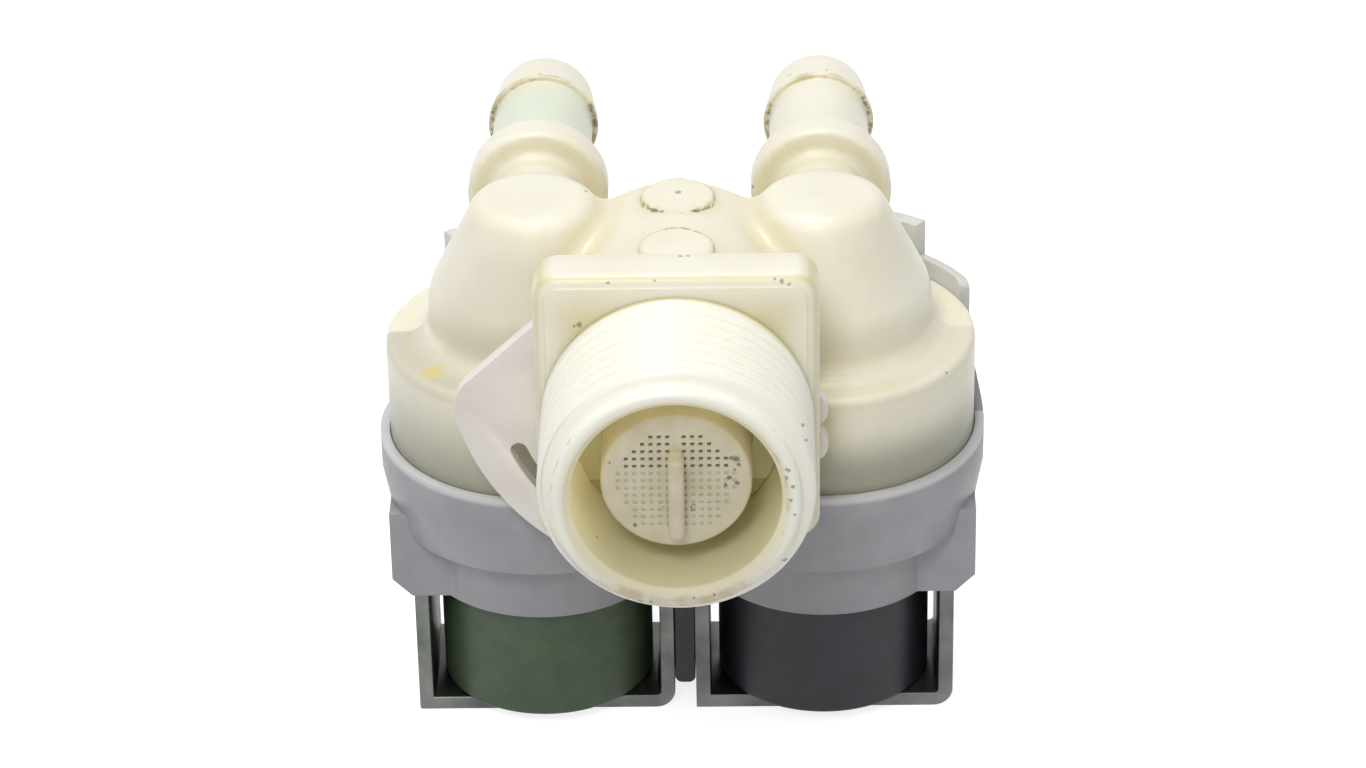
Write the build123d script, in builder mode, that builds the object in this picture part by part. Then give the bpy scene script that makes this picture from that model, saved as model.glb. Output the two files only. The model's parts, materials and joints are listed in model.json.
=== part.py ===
from build123d import *
from math import hypot, radians, sin
import os

# Twin solenoid inlet valve, stood on its coils. X runs across, +Y is the way the water leaves, +Z is up.
# The origin is on the inlet axis, at the front face of the flange.

# Inlet spigot with a G 3/4 thread and its flange
thread_major_r = 26.44 / 2
spigot_length = 16.0
spigot_wall = 1.8
lead_in_length = 1.9
lead_in_depth = 1.42
lead_in_slope = 0.5
mouth_bevel = 0.8
flange_side_step = 0.58
flange_top_step = 2.18
flange_bottom_step = 0.98
flange_thickness = 5.0
flange_corner_r = 2.6
flange_edge_round = 0.8

# Manifold behind the flange
neck_step = 1.22
manifold_overrun = 4.0
manifold_end_round = 3.0
manifold_wall = 5.0
manifold_end_wall = 2.5
pad_r = 3.9
pad_height = 0.5
pad_root = 2.0
rear_pad_step = 1.5
front_pad_step = 4.55

# Chambers with their towers, one on each side
chamber_overlap = 2.0
chamber_gap = 2.15
chamber_wall = 2.3
shoulder_z = -3.6
shoulder_width = 4.5
shoulder_round = 1.4
body_bottom_z = -18.0
tower_straight_z = 1.6
tower_top_z = 11.8
tower_top_r = 6.3
tower_top_round = 1.2
tower_bend_r = 6.0
tower_foot_round = 1.8
tower_cap = 2.4
well_r = 6.1
well_wall = 1.9
well_straight_z = 1.5
seat_height = 3.6
port_length = 6.0
port_web = 2.0
port_step = 0.6

# Hose barbs
barb_z = 7.0
neck_r = 4.9
neck_length = 7.8
neck_round = 1.0
collar_length = 4.7
collar_r = 7.2
collar_round = 1.3
stem_length = 12.8
stem_r = 5.2
stem_round = 0.4
bulb_length = 7.4
bulb_r = 5.8
bulb_land = 0.5
bulb_round = 0.3
barb_end_r = 4.7
barb_end_round = 1.6
barb_bore_r = 3.6

# Clearances
slide_clearance = 0.08
fit_clearance = 0.1
touch_clearance = 0.05

# Grey clamp collar under the chambers
rim_height = 3.7
collar_wall = 0.95
skirt_drop = 2.75
skirt_taper = 0.95
clamp_floor = 1.5
coil_room = 0.3
ring_wall = 1.3
ring_drop = 7.0
lug_wall = 0.9
lug_end_wall = 2.0
lug_chamfer = 2.0
hook_height = 12.3
hook_start_angle = 23.0
hook_end_angle = 50.0
hook_foot_r = 8.0
hook_corner_r = 1.0
left_post_height = 14.8
left_post_angle = 54.0
right_post_height = 15.8
right_post_angle = 51.0
post_sweep = 14.0
post_wall = 1.7

# Lock plate behind the flange
plate_gap = 0.15
plate_thickness = 1.7
plate_ring_width = 1.5
wing_width = 10.9
wing_centre_x = 2.0
wing_centre_z = 2.7
wing_root_z = 9.2
wing_corner_r = 4.0
wing_start_angle = 187.0
wing_end_angle = 240.0
wing_slot_step = 3.5
wing_slot_width = 1.65
wing_slot_start = 202.5
wing_slot_end = 232.0
bump_r = 1.9
bump_reach = 0.9
bump_heights = (-2.4, -6.3)

# Diaphragms and armature guides
guide_flange_thickness = 2.0
diaphragm_thickness = 1.1
bead_height = 2.6
bead_width = 1.6
bead_step = 0.7
web_width = 3.0
web_drop = 1.0
guide_dish_depth = 1.0
guide_dish_wall = 0.6
insert_thickness = 1.1
insert_hub_r = 2.2
insert_hub_height = 2.2
insert_step = 0.9
pilot_r = 0.5
guide_wall = 0.82
guide_recess = 0.6
guide_end_wall = 1.0
plunger_r = 4.0
plunger_wall = 1.1
plunger_gap = 4.95
tip_r = 2.2
tip_height = 2.4
tip_proud = 0.7
spring_pocket_depth = 6.0
spring_side_gap = 0.35
spring_wire_r = 0.25
spring_turns = 6

# Coils and yokes
yoke_gap = 2.2
yoke_half_depth = 7.2
yoke_height = 24.4
yoke_sheet = 1.5
yoke_bend_r = 2.0
coil_side_gap = 0.9
coil_wall = 0.95
coil_foot_round = 0.5
coil_end_wall = 0.9
bobbin_flange = 0.9
bobbin_wall = 0.8
winding_depth = 3.1
winding_clearance = 0.1
sleeve_wall = 1.0
sleeve_length = 6.5
terminal_block_half_width = 9.0
terminal_block_depth = 4.5
terminal_block_height = 7.0
terminal_block_drop = 3.7
terminal_block_round = 1.0
terminal_width = 6.3
terminal_thickness = 0.8
terminal_spacing = 9.4
terminal_reach = 8.0
terminal_point = 1.26
spacer_depth = 3.0
spacer_rise = 3.0
spacer_arch_r = 0.7

# Strainer, flow regulator and outlet restrictor
strainer_depth = 3.85
strainer_side_gap = 2.8
strainer_wall = 0.8
strainer_rim = 0.8
hole_pitch = 1.3
hole_size = 0.7
hole_margin = 0.5
hole_rows = 5
fin_width = 1.5
fin_top = 3.6
fin_bottom = 5.4
fin_reach = 2.4
regulator_thickness = 2.4
regulator_floor = 0.9
regulator_ring_step = 0.2
regulator_ring_thickness = 1.2
regulator_pin_r = 1.4
regulator_hole_r = 1.1
regulator_holes = 6
restrictor_length = 9.0
restrictor_back = 3.0
restrictor_bore_r = 2.2

# Radii and places across the valve that follow from the sizes above
lead_in_r = thread_major_r - lead_in_depth
inlet_bore_r = lead_in_r - spigot_wall
flange_half_width = thread_major_r + flange_side_step
flange_top = thread_major_r + flange_top_step
flange_bottom = thread_major_r + flange_bottom_step
manifold_r = thread_major_r - neck_step
manifold_bore_r = manifold_r - manifold_wall
plate_front_y = flange_thickness + plate_gap
plate_back_y = plate_front_y + plate_thickness
spring_pocket_r = plunger_r - plunger_wall
spring_coil_r = spring_pocket_r - spring_side_gap - spring_wire_r
guide_inner_r = plunger_r + slide_clearance
guide_outer_r = guide_inner_r + guide_wall
sleeve_r = guide_outer_r + fit_clearance + sleeve_wall
bobbin_inner_r = sleeve_r + touch_clearance
bobbin_outer_r = bobbin_inner_r + bobbin_wall
bobbin_flange_r = bobbin_outer_r + winding_depth
coil_r = bobbin_flange_r + fit_clearance + coil_wall
yoke_half_width = coil_r + coil_side_gap + yoke_sheet
ring_r = coil_r + coil_room + ring_wall
chamber_x = yoke_half_width + yoke_gap / 2
chamber_r = chamber_x + chamber_overlap / 2
chamber_y = plate_back_y + chamber_gap + chamber_r
chamber_inner_r = chamber_r - chamber_wall
tower_r = chamber_r - shoulder_width
manifold_end = chamber_y + manifold_overrun
rear_pad_y = chamber_y - rear_pad_step
front_pad_y = plate_back_y + front_pad_step
collar_front_y = chamber_y + neck_length
collar_back_y = collar_front_y + collar_length
bulb_front_y = collar_back_y + stem_length
barb_end_y = bulb_front_y + bulb_length
collar_inner_r = chamber_r + fit_clearance
rim_r = collar_inner_r + collar_wall
counterbore_r = chamber_inner_r + bead_step
bead_r = counterbore_r - fit_clearance
web_inner_r = bead_r - bead_width - web_width
insert_r = well_r - insert_step
regulator_back_y = -touch_clearance
regulator_front_y = regulator_back_y - regulator_thickness
regulator_ring_r = manifold_bore_r - regulator_ring_step
strainer_back_y = regulator_front_y - touch_clearance
strainer_face_y = strainer_depth - spigot_length
strainer_r = inlet_bore_r - strainer_side_gap

# Heights that follow, from the chambers' undersides down to the yokes' feet
rim_z = body_bottom_z + rim_height
guide_top_z = body_bottom_z + guide_flange_thickness / 2
guide_bottom_z = guide_top_z - guide_flange_thickness
ledge_z = guide_top_z + bead_height
seat_z = guide_top_z + seat_height
well_top_z = tower_top_z - tower_cap
floor_top_z = guide_bottom_z - touch_clearance
floor_bottom_z = floor_top_z - clamp_floor
skirt_bottom_z = floor_bottom_z - skirt_drop
ring_bottom_z = skirt_bottom_z - ring_drop
yoke_top_z = floor_bottom_z - touch_clearance
yoke_bottom_z = yoke_top_z - yoke_height
coil_top_z = yoke_top_z - yoke_sheet - touch_clearance
coil_bottom_z = yoke_bottom_z + yoke_sheet + touch_clearance
terminal_block_z = ring_bottom_z - terminal_block_drop
guide_end_z = yoke_bottom_z + guide_recess
guide_floor_z = guide_end_z + guide_end_wall
diaphragm_top_z = seat_z - touch_clearance
diaphragm_bottom_z = diaphragm_top_z - diaphragm_thickness
insert_top_z = diaphragm_bottom_z - touch_clearance
insert_bottom_z = insert_top_z - insert_thickness
tip_top_z = insert_bottom_z - touch_clearance
plunger_top_z = tip_top_z - tip_proud
plunger_bottom_z = guide_floor_z + plunger_gap
sides = {"left": -chamber_x, "right": chamber_x}

os.makedirs("parts", exist_ok=True)


def section(x, y):
    """Upright plane through (x, y): its own x is the radius along +X, its own y is the height."""
    return Plane(origin=(x, y, 0), x_dir=(1, 0, 0), z_dir=(0, -1, 0))


def upright(x, y):
    return Axis((x, y, 0), (0, 0, 1))


def facing(y):
    """Plane across the valve at depth y, seen from the inlet side. A minus extrusion goes to the rear."""
    return Plane.XZ.offset(-y)


# Body: chamber and tower are one turned shape on each side
with BuildPart() as valve_body:
    for axis_x in sides.values():
        with BuildSketch(section(axis_x, chamber_y)):
            with BuildLine():
                FilletPolyline(
                    (0, body_bottom_z),
                    (0, tower_top_z),
                    (tower_top_r, tower_top_z),
                    (tower_r, tower_straight_z),
                    (tower_r, shoulder_z),
                    (chamber_r, shoulder_z),
                    (chamber_r, body_bottom_z),
                    (0, body_bottom_z),
                    radius=[0, 0, tower_top_round, tower_bend_r, tower_foot_round, shoulder_round, 0],
                    close=True,
                )
            make_face()
        revolve(axis=upright(axis_x, chamber_y))

    # Manifold with a rounded rear end, and its two round pads
    with BuildSketch(Plane.XY):
        with BuildLine():
            FilletPolyline(
                (0, 0),
                (manifold_r, 0),
                (manifold_r, manifold_end),
                (0, manifold_end),
                radius=[0, 0, manifold_end_round, 0],
                close=True,
            )
        make_face()
    revolve(axis=Axis.Y)
    with BuildSketch(Plane.XY.offset(manifold_r - pad_root)):
        with Locations((0, rear_pad_y), (0, front_pad_y)):
            Circle(pad_r)
    extrude(amount=pad_root + pad_height)

    # Hose barbs: neck, collar, stem and bulb
    collar_rounds = [neck_round, collar_round, stem_round]
    barb_rounds = [0, 0, *collar_rounds, bulb_round, 0, 0, bulb_round, barb_end_round, 0]
    for axis_x in sides.values():
        with BuildSketch(Plane.XY.offset(barb_z)):
            with BuildLine():
                FilletPolyline(
                    (axis_x, chamber_y),
                    (axis_x + neck_r, chamber_y),
                    (axis_x + neck_r, collar_front_y),
                    (axis_x + collar_r, collar_front_y),
                    (axis_x + collar_r, collar_back_y),
                    (axis_x + stem_r, collar_back_y),
                    (axis_x + stem_r, bulb_front_y),
                    (axis_x + bulb_r, bulb_front_y),
                    (axis_x + bulb_r, bulb_front_y + bulb_land),
                    (axis_x + barb_end_r, barb_end_y),
                    (axis_x, barb_end_y),
                    radius=barb_rounds,
                    close=True,
                )
            make_face()
        revolve(axis=Axis((axis_x, 0, barb_z), (0, 1, 0)))

    # Flange and spigot. The thread's crests are this cylinder's skin.
    with BuildSketch(facing(0)):
        with Locations((0, (flange_top - flange_bottom) / 2)):
            RectangleRounded(2 * flange_half_width, flange_top + flange_bottom, flange_corner_r)
    extrude(amount=-flange_thickness)
    chamfer(faces().group_by(Axis.Y)[0].edges().group_by(Axis.Y)[0], flange_edge_round)
    with BuildSketch(Plane.XY):
        with BuildLine():
            Polyline(
                (0, 0),
                (thread_major_r, 0),
                (thread_major_r, lead_in_length - spigot_length),
                (lead_in_r, lead_in_length - spigot_length - lead_in_slope),
                (lead_in_r, -spigot_length),
                (0, -spigot_length),
                close=True,
            )
        make_face()
    revolve(axis=Axis.Y)

    # Inlet bore with a bevelled mouth, then the manifold's bore
    with BuildSketch(Plane.XY):
        with BuildLine():
            Polyline(
                (0, -spigot_length),
                (inlet_bore_r + mouth_bevel, -spigot_length),
                (inlet_bore_r, mouth_bevel - spigot_length),
                (inlet_bore_r, 0),
                (manifold_bore_r, 0),
                (manifold_bore_r, manifold_end - manifold_end_wall),
                (0, manifold_end - manifold_end_wall),
                close=True,
            )
        make_face()
    revolve(axis=Axis.Y, mode=Mode.SUBTRACT)

    # Ring-shaped chamber around the outlet well, open below, with the ledge that takes the diaphragm's bead
    for axis_x in sides.values():
        with BuildSketch(section(axis_x, chamber_y)):
            with BuildLine():
                Polyline(
                    (well_r + well_wall, shoulder_z - chamber_wall),
                    (chamber_inner_r, shoulder_z - chamber_wall),
                    (chamber_inner_r, ledge_z),
                    (counterbore_r, ledge_z),
                    (counterbore_r, body_bottom_z),
                    (0, body_bottom_z),
                    (0, seat_z),
                    (well_r + well_wall, seat_z),
                    close=True,
                )
            make_face()
        revolve(axis=upright(axis_x, chamber_y), mode=Mode.SUBTRACT)
        with BuildSketch(section(axis_x, chamber_y)):
            with BuildLine():
                Polyline(
                    (0, seat_z),
                    (well_r, seat_z),
                    (well_r, well_straight_z),
                    (barb_bore_r, well_top_z),
                    (0, well_top_z),
                    close=True,
                )
            make_face()
        revolve(axis=upright(axis_x, chamber_y), mode=Mode.SUBTRACT)
        with BuildSketch(Plane(origin=(axis_x, chamber_y, barb_z), x_dir=(1, 0, 0), z_dir=(0, 1, 0))):
            Circle(barb_bore_r)
        extrude(amount=barb_end_y - chamber_y, mode=Mode.SUBTRACT)

    # Port from the manifold's floor into each chamber
    port_inner_x = port_web / 2
    port_outer_x = chamber_x - well_r - well_wall - port_step
    port_middle_x = (port_inner_x + port_outer_x) / 2
    with BuildSketch(Plane.XY.offset(shoulder_z - chamber_wall)):
        with Locations((-port_middle_x, chamber_y), (port_middle_x, chamber_y)):
            Rectangle(port_outer_x - port_inner_x, port_length)
    extrude(amount=chamber_wall - shoulder_z, mode=Mode.SUBTRACT)
valve_body.part.label = "valve_body"
export_step(valve_body.part, "parts/valve_body.step")

# Pull-out strainer: a cup with square holes in its face and a fin to grip
hole_columns = range(hole_rows)
first_column = fin_width / 2 + hole_size / 2 + hole_margin
hole_places = [
    (side * (first_column + column * hole_pitch), level * (hole_pitch / 2 + row * hole_pitch))
    for side in (-1, 1)
    for level in (-1, 1)
    for column in hole_columns
    for row in range(hole_rows)
]
hole_reach = strainer_r - strainer_wall - hole_size / 2
with BuildPart() as inlet_strainer:
    with BuildSketch(Plane.XY):
        with BuildLine():
            Polyline(
                (0, strainer_face_y),
                (strainer_r, strainer_face_y),
                (strainer_r, strainer_back_y - strainer_rim),
                (inlet_bore_r - fit_clearance, strainer_back_y - strainer_rim),
                (inlet_bore_r - fit_clearance, strainer_back_y),
                (strainer_r - strainer_wall, strainer_back_y),
                (strainer_r - strainer_wall, strainer_face_y + strainer_wall),
                (0, strainer_face_y + strainer_wall),
                close=True,
            )
        make_face()
    revolve(axis=Axis.Y)
    with BuildSketch(facing(strainer_face_y)):
        with Locations(*[place for place in hole_places if hypot(*place) < hole_reach]):
            Rectangle(hole_size, hole_size)
    extrude(amount=-strainer_wall, mode=Mode.SUBTRACT)
    with BuildSketch(facing(strainer_face_y)):
        with Locations((0, (fin_top - fin_bottom) / 2)):
            Rectangle(fin_width, fin_top + fin_bottom)
    extrude(amount=fin_reach)
inlet_strainer.part.label = "inlet_strainer"
export_step(inlet_strainer.part, "parts/inlet_strainer.step")

# Flow regulator behind the strainer: a cup with a pin and holes, and a rubber ring in it
regulator_floor_y = regulator_back_y - regulator_floor
with BuildPart() as flow_regulator_cup:
    with BuildSketch(facing(regulator_back_y)):
        Circle(inlet_bore_r - fit_clearance)
    extrude(amount=regulator_thickness)
    with BuildSketch(facing(regulator_front_y)):
        Circle(regulator_ring_r + fit_clearance)
        Circle(regulator_pin_r, mode=Mode.SUBTRACT)
    extrude(amount=regulator_floor - regulator_thickness, mode=Mode.SUBTRACT)
    with BuildSketch(facing(regulator_back_y)):
        with PolarLocations((regulator_pin_r + manifold_bore_r) / 2, regulator_holes):
            Circle(regulator_hole_r)
    extrude(amount=regulator_floor, mode=Mode.SUBTRACT)
flow_regulator_cup.part.label = "flow_regulator_cup"
export_step(flow_regulator_cup.part, "parts/flow_regulator_cup.step")

with BuildPart() as flow_regulator_ring:
    with BuildSketch(facing(regulator_floor_y)):
        Circle(regulator_ring_r)
        Circle(regulator_pin_r + regulator_hole_r, mode=Mode.SUBTRACT)
    extrude(amount=regulator_ring_thickness)
flow_regulator_ring.part.label = "flow_regulator_ring"
export_step(flow_regulator_ring.part, "parts/flow_regulator_ring.step")

# Green sleeve that limits the flow, inside the left barb
with BuildPart() as outlet_restrictor:
    with BuildSketch(Plane.XZ.offset(restrictor_back + restrictor_length - barb_end_y)):
        with Locations((-chamber_x, barb_z)):
            Circle(barb_bore_r - touch_clearance)
            Circle(restrictor_bore_r, mode=Mode.SUBTRACT)
    extrude(amount=-restrictor_length)
outlet_restrictor.part.label = "outlet_restrictor"
export_step(outlet_restrictor.part, "parts/outlet_restrictor.step")

# Lock plate: a ring round the manifold's neck, a wing with an arc slot, and two bumps
neck_hole_r = manifold_r + fit_clearance
plate_ring_r = neck_hole_r + plate_ring_width
wing_r = plate_ring_r + wing_width
wing_slot_r = plate_ring_r + wing_slot_step
bump_x = flange_half_width + bump_reach - bump_r
with BuildPart() as lock_plate:
    with BuildSketch(facing(plate_front_y)):
        with BuildLine():
            wing_sweep = wing_end_angle - wing_start_angle
            wing_arc = CenterArc((wing_centre_x, wing_centre_z), wing_r, wing_start_angle, wing_sweep)
            Line(wing_arc @ 1, (0, -neck_hole_r))
            Line((0, -neck_hole_r), (0, wing_root_z))
            wing_edge = Line((0, wing_root_z), (-neck_hole_r, wing_root_z))
            Line(wing_edge @ 1, wing_arc @ 0)
        make_face()
        fillet(vertices().sort_by(Axis.X)[0], wing_corner_r)
        Circle(plate_ring_r)
        with Locations(*[(bump_x, height) for height in bump_heights]):
            Circle(bump_r)
        Circle(neck_hole_r, mode=Mode.SUBTRACT)

        # The arc slot is a curved band between two round ends
        slot_half = wing_slot_width / 2
        slot_sweep = wing_slot_end - wing_slot_start
        with BuildLine():
            slot_inner = CenterArc((0, 0), wing_slot_r - slot_half, wing_slot_start, slot_sweep)
            slot_outer = CenterArc((0, 0), wing_slot_r + slot_half, wing_slot_start, slot_sweep)
            slot_ends = [Line(slot_inner @ end, slot_outer @ end) for end in (0, 1)]
        make_face(mode=Mode.SUBTRACT)
        with Locations(*[slot_end @ 0.5 for slot_end in slot_ends]):
            Circle(slot_half, mode=Mode.SUBTRACT)
    extrude(amount=-plate_thickness)
lock_plate.part.label = "lock_plate"
export_step(lock_plate.part, "parts/lock_plate.step")

# Grey clamp collar: a skirt round the chambers, a floor, and a lower ring with lugs for coils and yokes
yoke_room_x = yoke_half_width + fit_clearance
yoke_room_y = yoke_half_depth + fit_clearance
lug_half_depth = yoke_room_y + lug_wall
lug_outer_x = chamber_x + yoke_room_x + lug_end_wall
upstand_foot_z = rim_z - collar_wall


def arc_wall(axis_x, start, sweep_angle, outer_r):
    """Sketch of a stretch of the collar's wall, as seen from above."""
    with BuildSketch(Plane((axis_x, chamber_y, upstand_foot_z))) as stretch:
        with BuildLine():
            outer = CenterArc((0, 0), outer_r, start, sweep_angle)
            inner = CenterArc((0, 0), collar_inner_r, start, sweep_angle)
            Line(outer @ 0, inner @ 0)
            Line(outer @ 1, inner @ 1)
        make_face()
    return stretch.sketch


with BuildPart() as clamp_collar:
    for axis_x in sides.values():
        with BuildSketch(section(axis_x, chamber_y)):
            with BuildLine():
                Polyline(
                    (0, skirt_bottom_z),
                    (rim_r - skirt_taper, skirt_bottom_z),
                    (rim_r, body_bottom_z),
                    (rim_r, rim_z),
                    (0, rim_z),
                    close=True,
                )
            make_face()
        revolve(axis=upright(axis_x, chamber_y))
    with BuildSketch(Plane.XY.offset(skirt_bottom_z)):
        with Locations(*[(axis_x, chamber_y) for axis_x in sides.values()]):
            Circle(ring_r)
    extrude(amount=ring_bottom_z - skirt_bottom_z)
    with BuildSketch(Plane.XY.offset(floor_bottom_z)):
        with Locations((0, chamber_y)):
            Rectangle(2 * lug_outer_x, 2 * lug_half_depth)
    extrude(amount=ring_bottom_z - floor_bottom_z)
    lug_ends = edges().filter_by(Axis.Y).group_by(Axis.Z)[0].sort_by(Axis.X)
    chamfer([lug_ends[0], lug_ends[-1]], lug_chamfer)

    # Room for the chambers above the floor, and for the coils and yokes below it
    with BuildSketch(Plane.XY.offset(floor_top_z)):
        with Locations(*[(axis_x, chamber_y) for axis_x in sides.values()]):
            Circle(collar_inner_r)
    extrude(amount=rim_z - floor_top_z, mode=Mode.SUBTRACT)
    with BuildSketch(Plane.XY.offset(floor_bottom_z)):
        with Locations(*[(axis_x, chamber_y) for axis_x in sides.values()]):
            Circle(ring_r - ring_wall)
            Rectangle(2 * yoke_room_x, 2 * yoke_room_y)
    extrude(amount=ring_bottom_z - floor_bottom_z, mode=Mode.SUBTRACT)
    with BuildSketch(Plane.XY.offset(floor_top_z)):
        with Locations(*[(axis_x, chamber_y) for axis_x in sides.values()]):
            Circle(guide_outer_r + 2 * fit_clearance)
    extrude(amount=-clamp_floor, mode=Mode.SUBTRACT)

    # Hook at the right rear: the wall climbs from the rim in a hollow curve, then straight up to a round corner
    hook_top_z = rim_z + hook_height
    hook_edge_y = chamber_y + rim_r * sin(radians(hook_start_angle))
    add(arc_wall(chamber_x, -hook_start_angle, hook_start_angle + hook_end_angle, rim_r))
    extrude(amount=hook_top_z - upstand_foot_z)
    with BuildSketch(Plane.YZ.offset(chamber_x)):
        with BuildLine():
            foot_curve = CenterArc((hook_edge_y - hook_foot_r, rim_z + hook_foot_r), hook_foot_r, -90, 90)
            corner = CenterArc((hook_edge_y + hook_corner_r, hook_top_z - hook_corner_r), hook_corner_r, 180, -90)
            Line(foot_curve @ 1, corner @ 0)
            Polyline(
                corner @ 1,
                (hook_edge_y + hook_corner_r, hook_top_z + hook_corner_r),
                (chamber_y - chamber_r, hook_top_z + hook_corner_r),
                (chamber_y - chamber_r, rim_z),
                foot_curve @ 0,
            )
        make_face()
    extrude(amount=2 * chamber_r, mode=Mode.SUBTRACT)

    # Two rear posts, each as far round from its side of the valve as its angle says
    posts = (
        (-chamber_x, 180 - left_post_angle - post_sweep, left_post_height),
        (chamber_x, right_post_angle, right_post_height),
    )
    for axis_x, post_start, post_height in posts:
        add(arc_wall(axis_x, post_start, post_sweep, collar_inner_r + post_wall))
        extrude(amount=rim_z + post_height - upstand_foot_z)
clamp_collar.part.label = "clamp_collar"
export_step(clamp_collar.part, "parts/clamp_collar.step")

# Dark strip in the gap between the yokes, with an arched foot
spacer_half_width = chamber_x - yoke_half_width - touch_clearance
spacer_top_z = ring_bottom_z - touch_clearance
with BuildPart() as coil_spacer:
    with BuildSketch(facing(chamber_y - yoke_half_depth + fit_clearance)):
        with BuildLine():
            FilletPolyline(
                (-spacer_half_width, spacer_top_z),
                (spacer_half_width, spacer_top_z),
                (spacer_half_width, yoke_bottom_z + spacer_rise),
                (-spacer_half_width, yoke_bottom_z + spacer_rise),
                radius=[0, 0, spacer_arch_r, spacer_arch_r],
                close=True,
            )
        make_face()
    extrude(amount=-spacer_depth)
coil_spacer.part.label = "coil_spacer"
export_step(coil_spacer.part, "parts/coil_spacer.step")

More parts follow.
